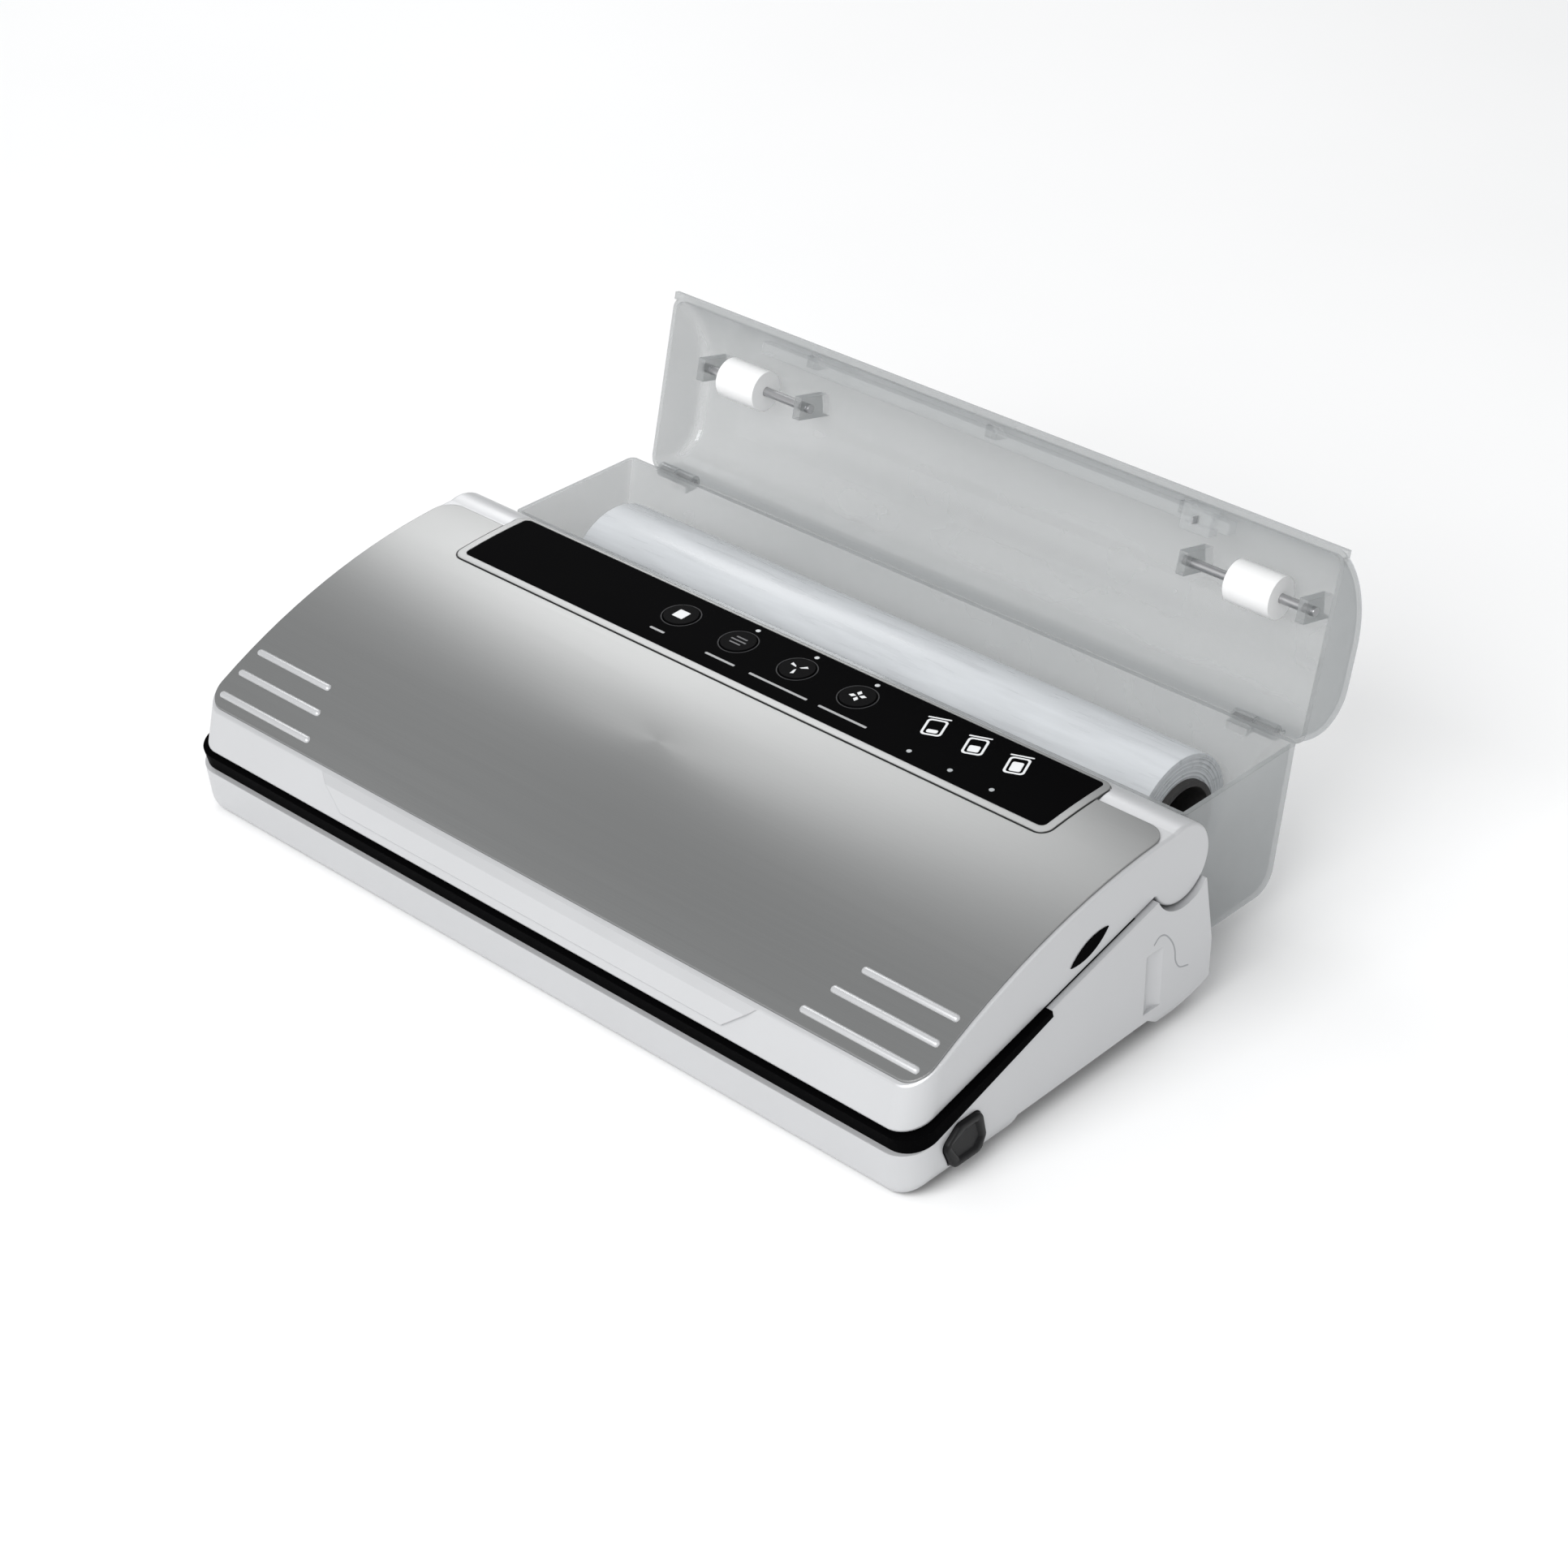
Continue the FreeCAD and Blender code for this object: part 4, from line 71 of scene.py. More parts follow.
class ShaderTree:
    """A material's node tree, built up node by node."""

    NOISE_LOW, NOISE_HIGH = 0.25, 0.75
    TINT_STOPS = (0.3, 0.7)
    BEVEL_SAMPLES = 4
    RELIEF_DEPTH = 0.0004

    def __init__(self, name: str) -> None:
        """Start an empty tree for a material of that name."""
        self.material = bpy.data.materials.new(name)
        self.material.use_nodes = True
        self.tree = self.material.node_tree
        self.tree.nodes.clear()
        self.output = self.tree.nodes.new("ShaderNodeOutputMaterial")

    def add(self, kind: str, settings: dict | None = None, **inputs: object) -> bpy.types.Node:
        """Add a node.

        Args:
            kind: the node's type name.
            settings: plain properties of the node.
            inputs: socket values or sockets to link, with spaces written as underscores.

        Returns:
            The new node.
        """
        node = self.tree.nodes.new(kind)
        for key, value in (settings or {}).items():
            setattr(node, key, value)
        for key, value in inputs.items():
            socket = node.inputs[key.replace("_", " ")]
            if isinstance(value, Socket):
                self.tree.links.new(value, socket)
            else:
                socket.default_value = value
        return node

    def noise(self, scale: Iterable[float], detail: float = 3.0) -> Socket:
        """Lay noise over the object's own coordinates.

        Args:
            scale: how closely the noise is packed along each axis.
            detail: how many finer layers it has.

        Returns:
            The noise value.
        """
        place = self.add("ShaderNodeTexCoord")
        mapping = self.add("ShaderNodeMapping", Vector=place.outputs["Object"], Scale=tuple(scale))
        noise = self.add("ShaderNodeTexNoise", Vector=mapping.outputs["Vector"], Scale=1.0, Detail=detail)
        return noise.outputs["Fac"]

    def spread(self, value: Socket, low: float, high: float) -> Socket:
        """Spread a noise value between two limits.

        Args:
            value: the noise value.
            low: what its low end becomes.
            high: what its high end becomes.

        Returns:
            The spread value.
        """
        limits = {"From_Min": self.NOISE_LOW, "From_Max": self.NOISE_HIGH, "To_Min": low, "To_Max": high}
        return self.add("ShaderNodeMapRange", Value=value, **limits).outputs["Result"]

    def tinted(self, value: Socket, colour: Colour, depth: float) -> Socket:
        """Let a colour grow a little darker and lighter with a noise value.

        Args:
            value: the noise value.
            colour: the middle colour.
            depth: the share by which it grows darker or lighter.

        Returns:
            The varied colour.
        """
        ramp = self.add("ShaderNodeValToRGB", Fac=value)
        for stop, place, gain in zip(ramp.color_ramp.elements, self.TINT_STOPS, (1 - depth, 1 + depth)):
            stop.position = place
            stop.color = (*(min(1.0, part * gain) for part in colour), 1.0)
        return ramp.outputs["Color"]

    def soft_edge(self, edge: float) -> Socket:
        """Return a normal whose edges are softened by a radius."""
        return self.add("ShaderNodeBevel", {"samples": self.BEVEL_SAMPLES}, Radius=edge).outputs["Normal"]

    def soft_normal(self, height: Socket, strength: float, edge: float) -> Socket:
        """Give a surface fine relief and softened edges.

        Args:
            height: the relief's height.
            strength: how strongly the relief shows.
            edge: radius of the softened edges.

        Returns:
            The normal.
        """
        relief = {"Height": height, "Strength": strength, "Distance": self.RELIEF_DEPTH}
        return self.add("ShaderNodeBump", Normal=self.soft_edge(edge), **relief).outputs["Normal"]

    def mixed(self, share: float | Socket, first: Socket, second: Socket) -> Socket:
        """Mix two shaders.

        Args:
            share: the share that falls to the second shader.
            first: the first shader.
            second: the second shader.

        Returns:
            The mixed shader.
        """
        node = self.add("ShaderNodeMixShader", Fac=share)
        self.tree.links.new(first, node.inputs[1])
        self.tree.links.new(second, node.inputs[2])
        return node.outputs["Shader"]

    def close(self, shader: Socket) -> bpy.types.Material:
        """Link a shader to the output and return the material."""
        self.tree.links.new(shader, self.output.inputs["Surface"])
        return self.material


@dataclass(frozen=True)
class Finish:
    """A solid finish with fine grain: paint, moulded plastic, rubber or bare metal."""

    name: str
    colour: Colour
    roughness: float
    metallic: float = 0.0
    grain: float = 900.0
    broad: float = 0.03
    relief: float = 0.08
    mottle: float = 0.04
    wander: float = 0.1
    coat: float = 0.0
    coat_roughness: float = 0.06
    ior: float = 1.5
    edge: float = 0.0005

    def build(self) -> bpy.types.Material:
        """Make the finish's material.

        Returns:
            The material.
        """
        tree = ShaderTree(self.name)
        fine = tree.noise((self.grain,) * 3)
        broad = tree.noise((self.grain * self.broad,) * 3)
        smooth, rough = self.roughness * (1 - self.wander), self.roughness * (1 + self.wander)
        shader = tree.add(
            "ShaderNodeBsdfPrincipled",
            Base_Color=tree.tinted(broad, self.colour, self.mottle),
            Metallic=self.metallic,
            Roughness=tree.spread(broad, smooth, rough),
            Normal=tree.soft_normal(fine, self.relief, self.edge),
            IOR=self.ior,
            Coat_Weight=self.coat,
            Coat_Roughness=self.coat_roughness,
        )
        return tree.close(shader.outputs["BSDF"])


@dataclass(frozen=True)
class BrushedFinish(Finish):
    """A brushed metal sheet whose fine lines run along the width."""

    streak: float = 0.03
    along: float = 6.0
    packing: float = 3.0
    layers: float = 4.0
    stretch: float = 0.3

    def build(self) -> bpy.types.Material:
        """Make the finish's material.

        Returns:
            The material.
        """
        tree = ShaderTree(self.name)
        across = self.grain * self.packing
        streaks = tree.noise((self.along, across, across), detail=self.layers)
        shader = tree.add(
            "ShaderNodeBsdfPrincipled",
            Base_Color=tree.tinted(streaks, self.colour, self.mottle),
            Metallic=self.metallic,
            Roughness=tree.spread(streaks, self.roughness - self.streak, self.roughness + self.streak),
            Anisotropic=self.stretch,
            Normal=tree.soft_normal(streaks, self.relief, self.edge),
        )
        return tree.close(shader.outputs["BSDF"])


@dataclass(frozen=True)
class ClearFinish(Finish):
    """Tinted plastic that light passes, with a milky share that grows at its rims."""

    milk: float = 0.3
    rim_blend: float = 0.2
    clearness: float = 0.9
    cloudiness: float = 0.08
    glow: float = 0.5
    bend: float = 1.46
    gloss: Colour = (0.9, 0.92, 0.95)

    def cloud(self, tree: ShaderTree, broad: Socket, normal: Socket) -> Socket:
        """Make the milky share, lit from both sides.

        Args:
            tree: the material's tree.
            broad: noise that varies the tint.
            normal: the surface's normal.

        Returns:
            The shader.
        """
        tint = tree.tinted(broad, self.colour, self.mottle)
        lit = tree.add("ShaderNodeBsdfDiffuse", Color=tint, Normal=normal)
        glow = tree.add("ShaderNodeBsdfTranslucent", Color=tint, Normal=normal)
        return tree.mixed(self.glow, lit.outputs["BSDF"], glow.outputs["BSDF"])

    def milkiness(self, tree: ShaderTree, broad: Socket, normal: Socket) -> Socket:
        """Work out how much of the plastic is milky.

        Args:
            tree: the material's tree.
            broad: noise that varies the share.
            normal: the surface's normal.

        Returns:
            The share.
        """
        least = tree.spread(broad, self.milk * (1 - self.cloudiness), self.milk * (1 + self.cloudiness))
        lean = tree.add("ShaderNodeLayerWeight", Blend=self.rim_blend, Normal=normal).outputs["Facing"]
        return tree.add("ShaderNodeMapRange", Value=lean, To_Min=least, To_Max=1.0).outputs["Result"]

    def build(self) -> bpy.types.Material:
        """Make the finish's material.

        Returns:
            The material.
        """
        tree = ShaderTree(self.name)
        broad = tree.noise((self.grain * self.broad,) * 3)
        normal = tree.soft_edge(self.edge)
        passed = (self.clearness + (1 - self.clearness) * part for part in self.colour)
        clear = tree.add("ShaderNodeBsdfTransparent", Color=(*passed, 1.0)).outputs["BSDF"]
        cloud = self.cloud(tree, broad, normal)
        body = tree.mixed(self.milkiness(tree, broad, normal), clear, cloud)
        shine = {"Color": (*self.gloss, 1.0), "Roughness": self.roughness, "Normal": normal}
        gloss = tree.add("ShaderNodeBsdfGlossy", **shine).outputs["BSDF"]
        glance = tree.add("ShaderNodeFresnel", IOR=self.bend, Normal=normal).outputs["Fac"]
        back = tree.add("ShaderNodeNewGeometry").outputs["Backfacing"]
        outer = tree.add("ShaderNodeMapRange", Value=back, To_Min=glance, To_Max=0.0).outputs["Result"]
        return tree.close(tree.mixed(outer, body, gloss))


@dataclass(frozen=True)
class FilmFinish(Finish):
    """Wound film: whitish, with faint bands along the roll."""

    band: float = 0.06
    along: float = 30.0
    around: float = 260.0
    layers: float = 5.0
    smoothest: float = 0.7
    roughest: float = 1.4
    coat_roughness: float = 0.2

    def build(self) -> bpy.types.Material:
        """Make the finish's material.

        Returns:
            The material.
        """
        tree = ShaderTree(self.name)
        bands = tree.noise((self.along, self.around, self.around), detail=self.layers)
        shader = tree.add(
            "ShaderNodeBsdfPrincipled",
            Base_Color=tree.tinted(bands, self.colour, self.band),
            Roughness=tree.spread(bands, self.roughness * self.smoothest, self.roughness * self.roughest),
            Normal=tree.soft_normal(bands, self.relief, self.edge),
            Coat_Weight=self.coat,
            Coat_Roughness=self.coat_roughness,
        )
        return tree.close(shader.outputs["BSDF"])


FINISHES: dict[str, Finish] = {
    "silver_paint": Finish(
        "satin_silver", (0.53, 0.535, 0.545), 0.36, metallic=0.4, relief=0.04, mottle=0.012
    ),
    "brushed_sheet": BrushedFinish(
        "brushed_sheet", (0.30, 0.303, 0.302), 0.36, metallic=1.0, relief=0.012, mottle=0.018
    ),
    "black_gloss": Finish("gloss_black", (0.0018, 0.0018, 0.002), 0.35, relief=0.02, ior=1.03),
    "black_matte": Finish("moulded_black", (0.005, 0.005, 0.0055), 0.34, relief=0.08, ior=1.25),
    "smoke_clear": ClearFinish("clear_plastic", (0.50, 0.515, 0.515), 0.08, milk=0.33, mottle=0.01),
    # A lighter copy of the clear plastic: painted light that lifts the shade on the thin cutter parts.
    "shade_lifted_clear": ClearFinish(
        "shade_lifted_plastic", (0.72, 0.735, 0.735), 0.1, milk=0.2, rim_blend=0.05, mottle=0.01
    ),
    "white_plastic": Finish("moulded_white", (0.86, 0.86, 0.86), 0.34, relief=0.05),
    "film": FilmFinish("wound_film", (0.54, 0.56, 0.58), 0.3, relief=0.10, coat=0.1),
    "card": Finish("dark_card", (0.035, 0.033, 0.032), 0.7, relief=0.3, mottle=0.15),
    "grey_rubber": Finish("soft_rubber", (0.03, 0.03, 0.03), 0.75, relief=0.35, mottle=0.12),
    "red_silicone": Finish("silicone", (0.22, 0.22, 0.23), 0.6, relief=0.1),
    "brown_tape": Finish("cloth_tape", (0.30, 0.20, 0.11), 0.55, grain=1600.0, relief=0.4, mottle=0.12),
    "bare_steel": BrushedFinish("bare_steel", (0.52, 0.52, 0.53), 0.3, metallic=1.0, relief=0.05),
    "nickel_strip": BrushedFinish("nickel_strip", (0.48, 0.46, 0.43), 0.28, metallic=1.0, relief=0.04),
    "copper": Finish("copper_wire", (0.50, 0.22, 0.10), 0.35, metallic=0.9, relief=0.4, mottle=0.15),
    "circuit_green": Finish("circuit_board", (0.015, 0.13, 0.05), 0.4, relief=0.15, mottle=0.2),
    "lamp_clear": Finish("lamp_lens", (0.35, 0.37, 0.38), 0.2, relief=0.02, coat=0.4),
    "key_black": Finish("key_black", (0.003, 0.003, 0.0033), 0.3, relief=0.03, ior=1.05),
    "print_white": Finish("panel_print", (0.74, 0.75, 0.76), 0.45, relief=0.04, mottle=0.05),
    "print_grey": Finish("panel_print_grey", (0.10, 0.10, 0.105), 0.4, relief=0.04, mottle=0.05),
    "print_soft": Finish("panel_print_soft", (0.33, 0.335, 0.34), 0.45, relief=0.04, mottle=0.05),
    "print_faint": Finish("panel_print_faint", (0.028, 0.028, 0.03), 0.4, relief=0.04, mottle=0.05, ior=1.2),
    # Grey for the joint lines on the base's sides, and for the painted shadow strip under the grip lip.
    "seam": Finish("seam_line_and_painted_shadow", (0.36, 0.37, 0.385), 0.6, relief=0.05, mottle=0.1),
}
# The cutter rail and slider wear the lighter copy, painted light against the shade they fall in.
NODE_FINISHES: dict[str, str] = {"cutter_rail": "shade_lifted_clear", "cutter_slider": "shade_lifted_clear"}
MATERIALS: dict[str, bpy.types.Material] = {}


def material(key: str) -> bpy.types.Material:
    """Fetch a finish's material, made the first time it is asked for.

    Args:
        key: the finish's key.

    Returns:
        The material.
    """
    if key not in MATERIALS:
        MATERIALS[key] = FINISHES[key].build()
    return MATERIALS[key]


@dataclass(frozen=True)
class Place:
    """Turns depths behind the lid's front face, in millimetres, into the part's own frame."""

    middle: float = 138.215

    def at(self, x: float, depth: float, height: float) -> Vector:
        """Return a point in metres."""
        return Vector((x * MM, (depth - self.middle) * MM, height * MM))


@dataclass(frozen=True)
class LidCurve:
    """The arc that the lid's top follows from front to hinge, in millimetres."""

    hinge_depth: float = 146.0
    crest: float = 88.5
    front_top: float = 47.5

    @property
    def radius(self) -> float:
        """Radius of the arc."""
        drop = self.crest - self.front_top
        return (self.hinge_depth**2 + drop**2) / (2 * drop)

    def height(self, depth: float, proud: float = 0.0) -> float:
        """Return the height of the arc, or of one a little above it, at a depth."""
        radius = self.radius + proud
        return self.crest - self.radius + math.sqrt(radius**2 - (self.hinge_depth - depth) ** 2)


PLACE = Place()
CURVE = LidCurve()


class Piece:
    """A new mesh piece under construction."""

    def __init__(self, name: str) -> None:
        """Start an empty piece of that name."""
        self.name = name
        self.mesh = bmesh.new()

    def loop(self, outline: Iterable[Vector]) -> tuple[list[bmesh.types.BMVert], list[bmesh.types.BMEdge]]:
        """Add a closed loop of edges.

        Args:
            outline: its corners, in order.

        Returns:
            The corners and the edges between them.
        """
        verts = [self.mesh.verts.new(point) for point in outline]
        return verts, [self.mesh.edges.new((verts[i - 1], verts[i])) for i in range(len(verts))]

    def thicken(self, faces: list[bmesh.types.BMFace], lift: Vector) -> None:
        """Make a thin solid of some faces.

        Args:
            faces: its lower faces.
            lift: how far its upper faces lie from the lower ones.
        """
        grown = bmesh.ops.extrude_face_region(self.mesh, geom=faces, use_keep_orig=True)
        raised = [item for item in grown["geom"] if isinstance(item, bmesh.types.BMVert)]
        bmesh.ops.translate(self.mesh, verts=raised, vec=lift)

    def patch(self, outline: Iterable[Vector], lift: Vector) -> None:
        """Add a thin flat solid.

        Args:
            outline: corners of its lower face, in order.
            lift: how far the upper face lies from the lower one.
        """
        face = self.mesh.faces.new([self.mesh.verts.new(point) for point in outline])
        self.thicken([face], lift)

    def band(self, outer: Iterable[Vector], inner: Iterable[Vector], lift: Vector) -> None:
        """Add a thin closed ring between two outlines with as many corners as each other.

        Args:
            outer: corners of the outer outline.
            inner: corners of the inner outline.
            lift: how far the upper faces lie from the lower ones.
        """
        edges = self.loop(outer)[1] + self.loop(inner)[1]
        self.thicken(bmesh.ops.bridge_loops(self.mesh, edges=edges)["faces"], lift)

    def spun(self, profile: Iterable[Vector], centre: Vector, axis: Vector, steps: int) -> None:
        """Turn a closed profile a full circle.

        Args:
            profile: its corners, in order.
            centre: a point on the axis.
            axis: direction of the axis.
            steps: how many flats the circle has.
        """
        verts, edges = self.loop(profile)
        turn = {"cent": centre, "axis": axis, "angle": 2 * math.pi, "steps": steps, "use_merge": True}
        bmesh.ops.spin(self.mesh, geom=verts + edges, **turn)

    def loft(self, outlines: Iterable[Iterable[Vector]]) -> None:
        """Join outlines with as many corners as each other into a closed solid.

        Args:
            outlines: the outlines, from one end of the solid to the other.
        """
        loops = [self.loop(outline)[1] for outline in outlines]
        for low, high in zip(loops, loops[1:]):
            bmesh.ops.bridge_loops(self.mesh, edges=low + high)
        for end in (loops[0], loops[-1]):
            bmesh.ops.contextual_create(self.mesh, geom=end)

    def done(self, body: Body, finish: str, smooth: bool = True) -> bpy.types.Object:
        """Close the piece and hang it on a body.

        Args:
            body: the body that it rides on.
            finish: key of its finish.
            smooth: whether its faces are shaded smooth.

        Returns:
            The new object.
        """
        bmesh.ops.recalc_face_normals(self.mesh, faces=self.mesh.faces)
        data = bpy.data.meshes.new(self.name)
        self.mesh.to_mesh(data)
        self.mesh.free()
        if smooth:
            data.shade_smooth()
            data.set_sharp_from_angle(angle=SHARP_ANGLE)
        data.materials.append(material(finish))
        thing = bpy.data.objects.new(self.name, data)
        bpy.context.scene.collection.objects.link(thing)
        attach(thing, body.value)
        LOG.info("%s rides on %s with %d faces", self.name, body.value, len(data.polygons))
        return thing


def rounded(width: float, height: float, radius: float, steps: int = 6) -> list[Spot]:
    """Draw a rounded rectangle about the origin.

    Args:
        width: its whole width.
        height: its whole height.
        radius: radius of its corners.
        steps: how many flats each corner has.

    Returns:
        The outline's points.
    """
    points = []
    for turn, (side, rise) in enumerate(((1, 1), (-1, 1), (-1, -1), (1, -1))):
        for step in range(steps + 1):
            angle = math.radians(90 * (turn + step / steps))
            points.append((
                side * (width / 2 - radius) + radius * math.cos(angle),
                rise * (height / 2 - radius) + radius * math.sin(angle),
            ))
    return points


def circle(radius: float, steps: int = 40) -> list[Spot]:
    """Return the outline of a circle about the origin."""
    angles = [2 * math.pi * i / steps for i in range(steps)]
    return [(radius * math.cos(angle), radius * math.sin(angle)) for angle in angles]


def round_corners(corners: list[Vector], radius: float, steps: int = 5) -> list[Spot]:
    """Round every corner of a closed outline.

    Args:
        corners: the outline's sharp corners, in order.
        radius: radius of the rounding.
        steps: how many flats each corner has.

    Returns:
        The outline's points.
    """
    points = []
    for i, corner in enumerate(corners):
        back = (corners[i - 1] - corner).normalized()
        ahead = (corners[(i + 1) % len(corners)] - corner).normalized()
        half = back.angle(ahead) / 2
        centre = corner + (back + ahead).normalized() * (radius / math.sin(half))
        start = corner + back * (radius / math.tan(half)) - centre
        end = corner + ahead * (radius / math.tan(half)) - centre
        for step in range(steps + 1):
            spoke = start.lerp(end, step / steps).normalized() * radius
            points.append(tuple(centre + spoke))
    return points


@dataclass
class PanelPrint:
    """Generic marks on the black panel: bars under the keys, key symbols and bag pictograms."""

    proud: float = 0.13
    key_proud: float = 0.62
    thickness: float = 0.05
    key_depth: float = 134.5
    stop_x: float = -50.0
    seal_x: float = -18.0
    vacuum_x: float = 14.0
    mode_x: float = 46.0
    stop_side: float = 5.6
    stop_corner: float = 0.4
    seal_length: float = 8.0
    seal_width: float = 0.8
    seal_corner: float = 0.35
    seal_pitch: float = 2.2
    vacuum_arm: tuple[Spot, ...] = ((0.6, 0.7), (1.5, 0.7), (3.9, 2.4), (2.6, 3.2))
    vacuum_arms: int = 3
    mode_petal: tuple[Spot, ...] = ((0.6, 0.0), (2.2, -1.1), (3.8, 0.0), (2.2, 1.1))
    mode_petals: int = 4
    mode_turn: float = 20.0
    ring_outer: float = 8.5
    ring_inner: float = 8.0
    bar_depth: float = 120.6
    bar_height: float = 1.2
    bar_corner: float = 0.5
    bars: tuple[Spot, ...] = ((-50.0, 8.0), (-15.0, 16.0), (16.5, 31.0), (50.5, 25.0))
    bags: tuple[float, ...] = (83.0, 103.5, 124.0)
    bag_depth: float = 137.2
    bag_turn: float = 22.0
    bag_width: float = 8.6
    bag_length: float = 11.5
    bag_corner: float = 1.8
    bag_line: float = 1.0
    bag_inner_corner: float = 1.2
    fill_width: float = 4.6
    fill_length: float = 2.4
    fill_growth: float = 2.0
    fill_corner: float = 0.9
    fill_low: float = -4.0
    mouth_width: float = 9.6
    mouth_length: float = 0.9
    mouth_corner: float = 0.4
    mouth_back: float = 6.9

    @property
    def up(self) -> Vector:
        """Thickness of the print."""
        return Vector((0, 0, self.thickness * MM))

    def drawn(
        self, outline: Iterable[Spot], x: float, depth: float, turn: float = 0.0, proud: float | None = None
    ) -> list[Vector]:
        """Lay an outline on the panel.

        Args:
            outline: its points about its own middle.
            x: place of its middle along the width.
            depth: place of its middle behind the lid's front face.
            turn: degrees by which it is turned about its middle.
            proud: how far it stands above the lid's arc, or None for the panel's own face.

        Returns:
            The points in the part's frame.
        """
        above = self.proud if proud is None else proud
        spin = Matrix.Rotation(math.radians(turn), 2)
        points = []
        for spot in outline:
            side, back = spin @ Vector(spot)
            points.append(PLACE.at(x + side, depth + back, CURVE.height(depth + back, above)))
        return points

    def on_key(self, outline: Iterable[Spot], x: float, turn: float = 0.0, back: float = 0.0) -> list[Vector]:
        """Return an outline laid on the crown of a key, turned and moved back."""
        return self.drawn(outline, x, self.key_depth + back, turn, self.key_proud)

    def on_bag(self, outline: Iterable[Spot], x: float, back: float = 0.0) -> list[Vector]:
        """Return an outline laid on the panel as part of a tilted bag."""
        return self.drawn([(side, rise + back) for side, rise in outline], x, self.bag_depth, self.bag_turn)

    def key_symbols(self) -> None:
        """Put a plain symbol on each key, which travels with it."""
        square = Piece("stop_symbol")
        outline = rounded(self.stop_side, self.stop_side, self.stop_corner)
        square.patch(self.on_key(outline, self.stop_x), self.up)
        square.done(Body.STOP_KEY, "print_white")
        seal = Piece("seal_symbol")
        for back in (-self.seal_pitch, 0.0, self.seal_pitch):
            outline = rounded(self.seal_length - abs(back), self.seal_width, self.seal_corner)
            seal.patch(self.on_key(outline, self.seal_x, back=back), self.up)
        seal.done(Body.SEAL_KEY, "print_grey")
        draw = Piece("vacuum_symbol")
        for i in range(self.vacuum_arms):
            draw.patch(self.on_key(self.vacuum_arm, self.vacuum_x, 360 * i / self.vacuum_arms), self.up)
        draw.done(Body.VACUUM_KEY, "print_white")
        mode = Piece("mode_symbol")
        for i in range(self.mode_petals):
            turn = 360 * i / self.mode_petals + self.mode_turn
            mode.patch(self.on_key(self.mode_petal, self.mode_x, turn), self.up)
        mode.done(Body.MODE_KEY, "print_white")

    def rings_and_bars(self) -> None:
        """Put a ring round each key and a bar for its label."""
        rings = Piece("key_rings")
        for x in (self.stop_x, self.seal_x, self.vacuum_x, self.mode_x):
            outer = self.drawn(circle(self.ring_outer), x, self.key_depth)
            inner = self.drawn(circle(self.ring_inner), x, self.key_depth)
            rings.band(outer, inner, self.up)
        rings.done(Body.LID, "print_faint")
        labels = Piece("label_bars")
        for x, width in self.bars:
            outline = rounded(width, self.bar_height, self.bar_corner)
            labels.patch(self.drawn(outline, x, self.bar_depth), self.up)
        labels.done(Body.LID, "print_soft")

    def bag_pictograms(self) -> None:
        """Put three plain bag pictograms beside the keys, each fuller than the last."""
        bags = Piece("bag_pictograms")
        outer = rounded(self.bag_width, self.bag_length, self.bag_corner)
        inner = rounded(
            self.bag_width - 2 * self.bag_line, self.bag_length - 2 * self.bag_line, self.bag_inner_corner
        )
        mouth = rounded(self.mouth_width, self.mouth_length, self.mouth_corner)
        for i, x in enumerate(self.bags):
            length = self.fill_length + self.fill_growth * i
            fill = rounded(self.fill_width, length, self.fill_corner)
            bags.band(self.on_bag(outer, x), self.on_bag(inner, x), self.up)
            bags.patch(self.on_bag(fill, x, self.fill_low + length / 2), self.up)
            bags.patch(self.on_bag(mouth, x, self.mouth_back), self.up)
        bags.done(Body.LID, "print_white")

    def build(self) -> None:
        """Make all the marks."""
        self.key_symbols()
        self.rings_and_bars()
        self.bag_pictograms()


@dataclass
class WoundRoll:
    """The film roll, with stepped ends where the turns don't line up."""

    depth: float = 199.3
    height: float = 46.7
    half_length: float = 155.0
    outer: float = 29.5
    inner: float = 19.05
    turns: int = 13
    turn_share: float = 0.82
    stagger: float = 0.45
    inset: float = 0.05
    groove: float = 0.25
    groove_rise: float = 0.05
    rim: float = 0.5
    steps: int = 96
    seed: int = 7

    def end(self, side: int, chance: random.Random) -> list[Spot]:
        """Draw one stepped end, from the core outwards.

        Args:
            side: 1 for the right end and -1 for the left.
            chance: the draws that stagger the turns.

        Returns:
            Points along the roll and their radius.
        """
        points = []
        pitch = (self.outer - self.inner) / self.turns
        for turn in range(self.turns):
            low = self.inner + pitch * turn
            high = self.inner + pitch * (turn + self.turn_share)
            reach = self.half_length - self.stagger * chance.random() - self.inset
            floor = reach - self.groove
            points += [(side * reach, low), (side * reach, high), (side * floor, high + self.groove_rise)]
        points[-1] = (side * (self.half_length - self.rim), self.outer)
        return points

    def profile(self) -> list[Vector]:
        """Draw the roll's half section above its axis.

        Returns:
            The section's corners, in order.
        """
        chance = random.Random(self.seed)
        right = self.end(1, chance)
        left = self.end(-1, chance)
        outline = left + list(reversed(right))
        return [PLACE.at(x, self.depth, self.height + radius) for x, radius in outline]

    def build(self) -> None:
        """Make the roll and let it stand for the plain one."""
        roll = Piece("wound_film")
        roll.spun(self.profile(), PLACE.at(0, self.depth, self.height), WIDTHWAYS, self.steps)
        thing = roll.done(Body.ROLL, "film")
        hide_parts("film_roll")


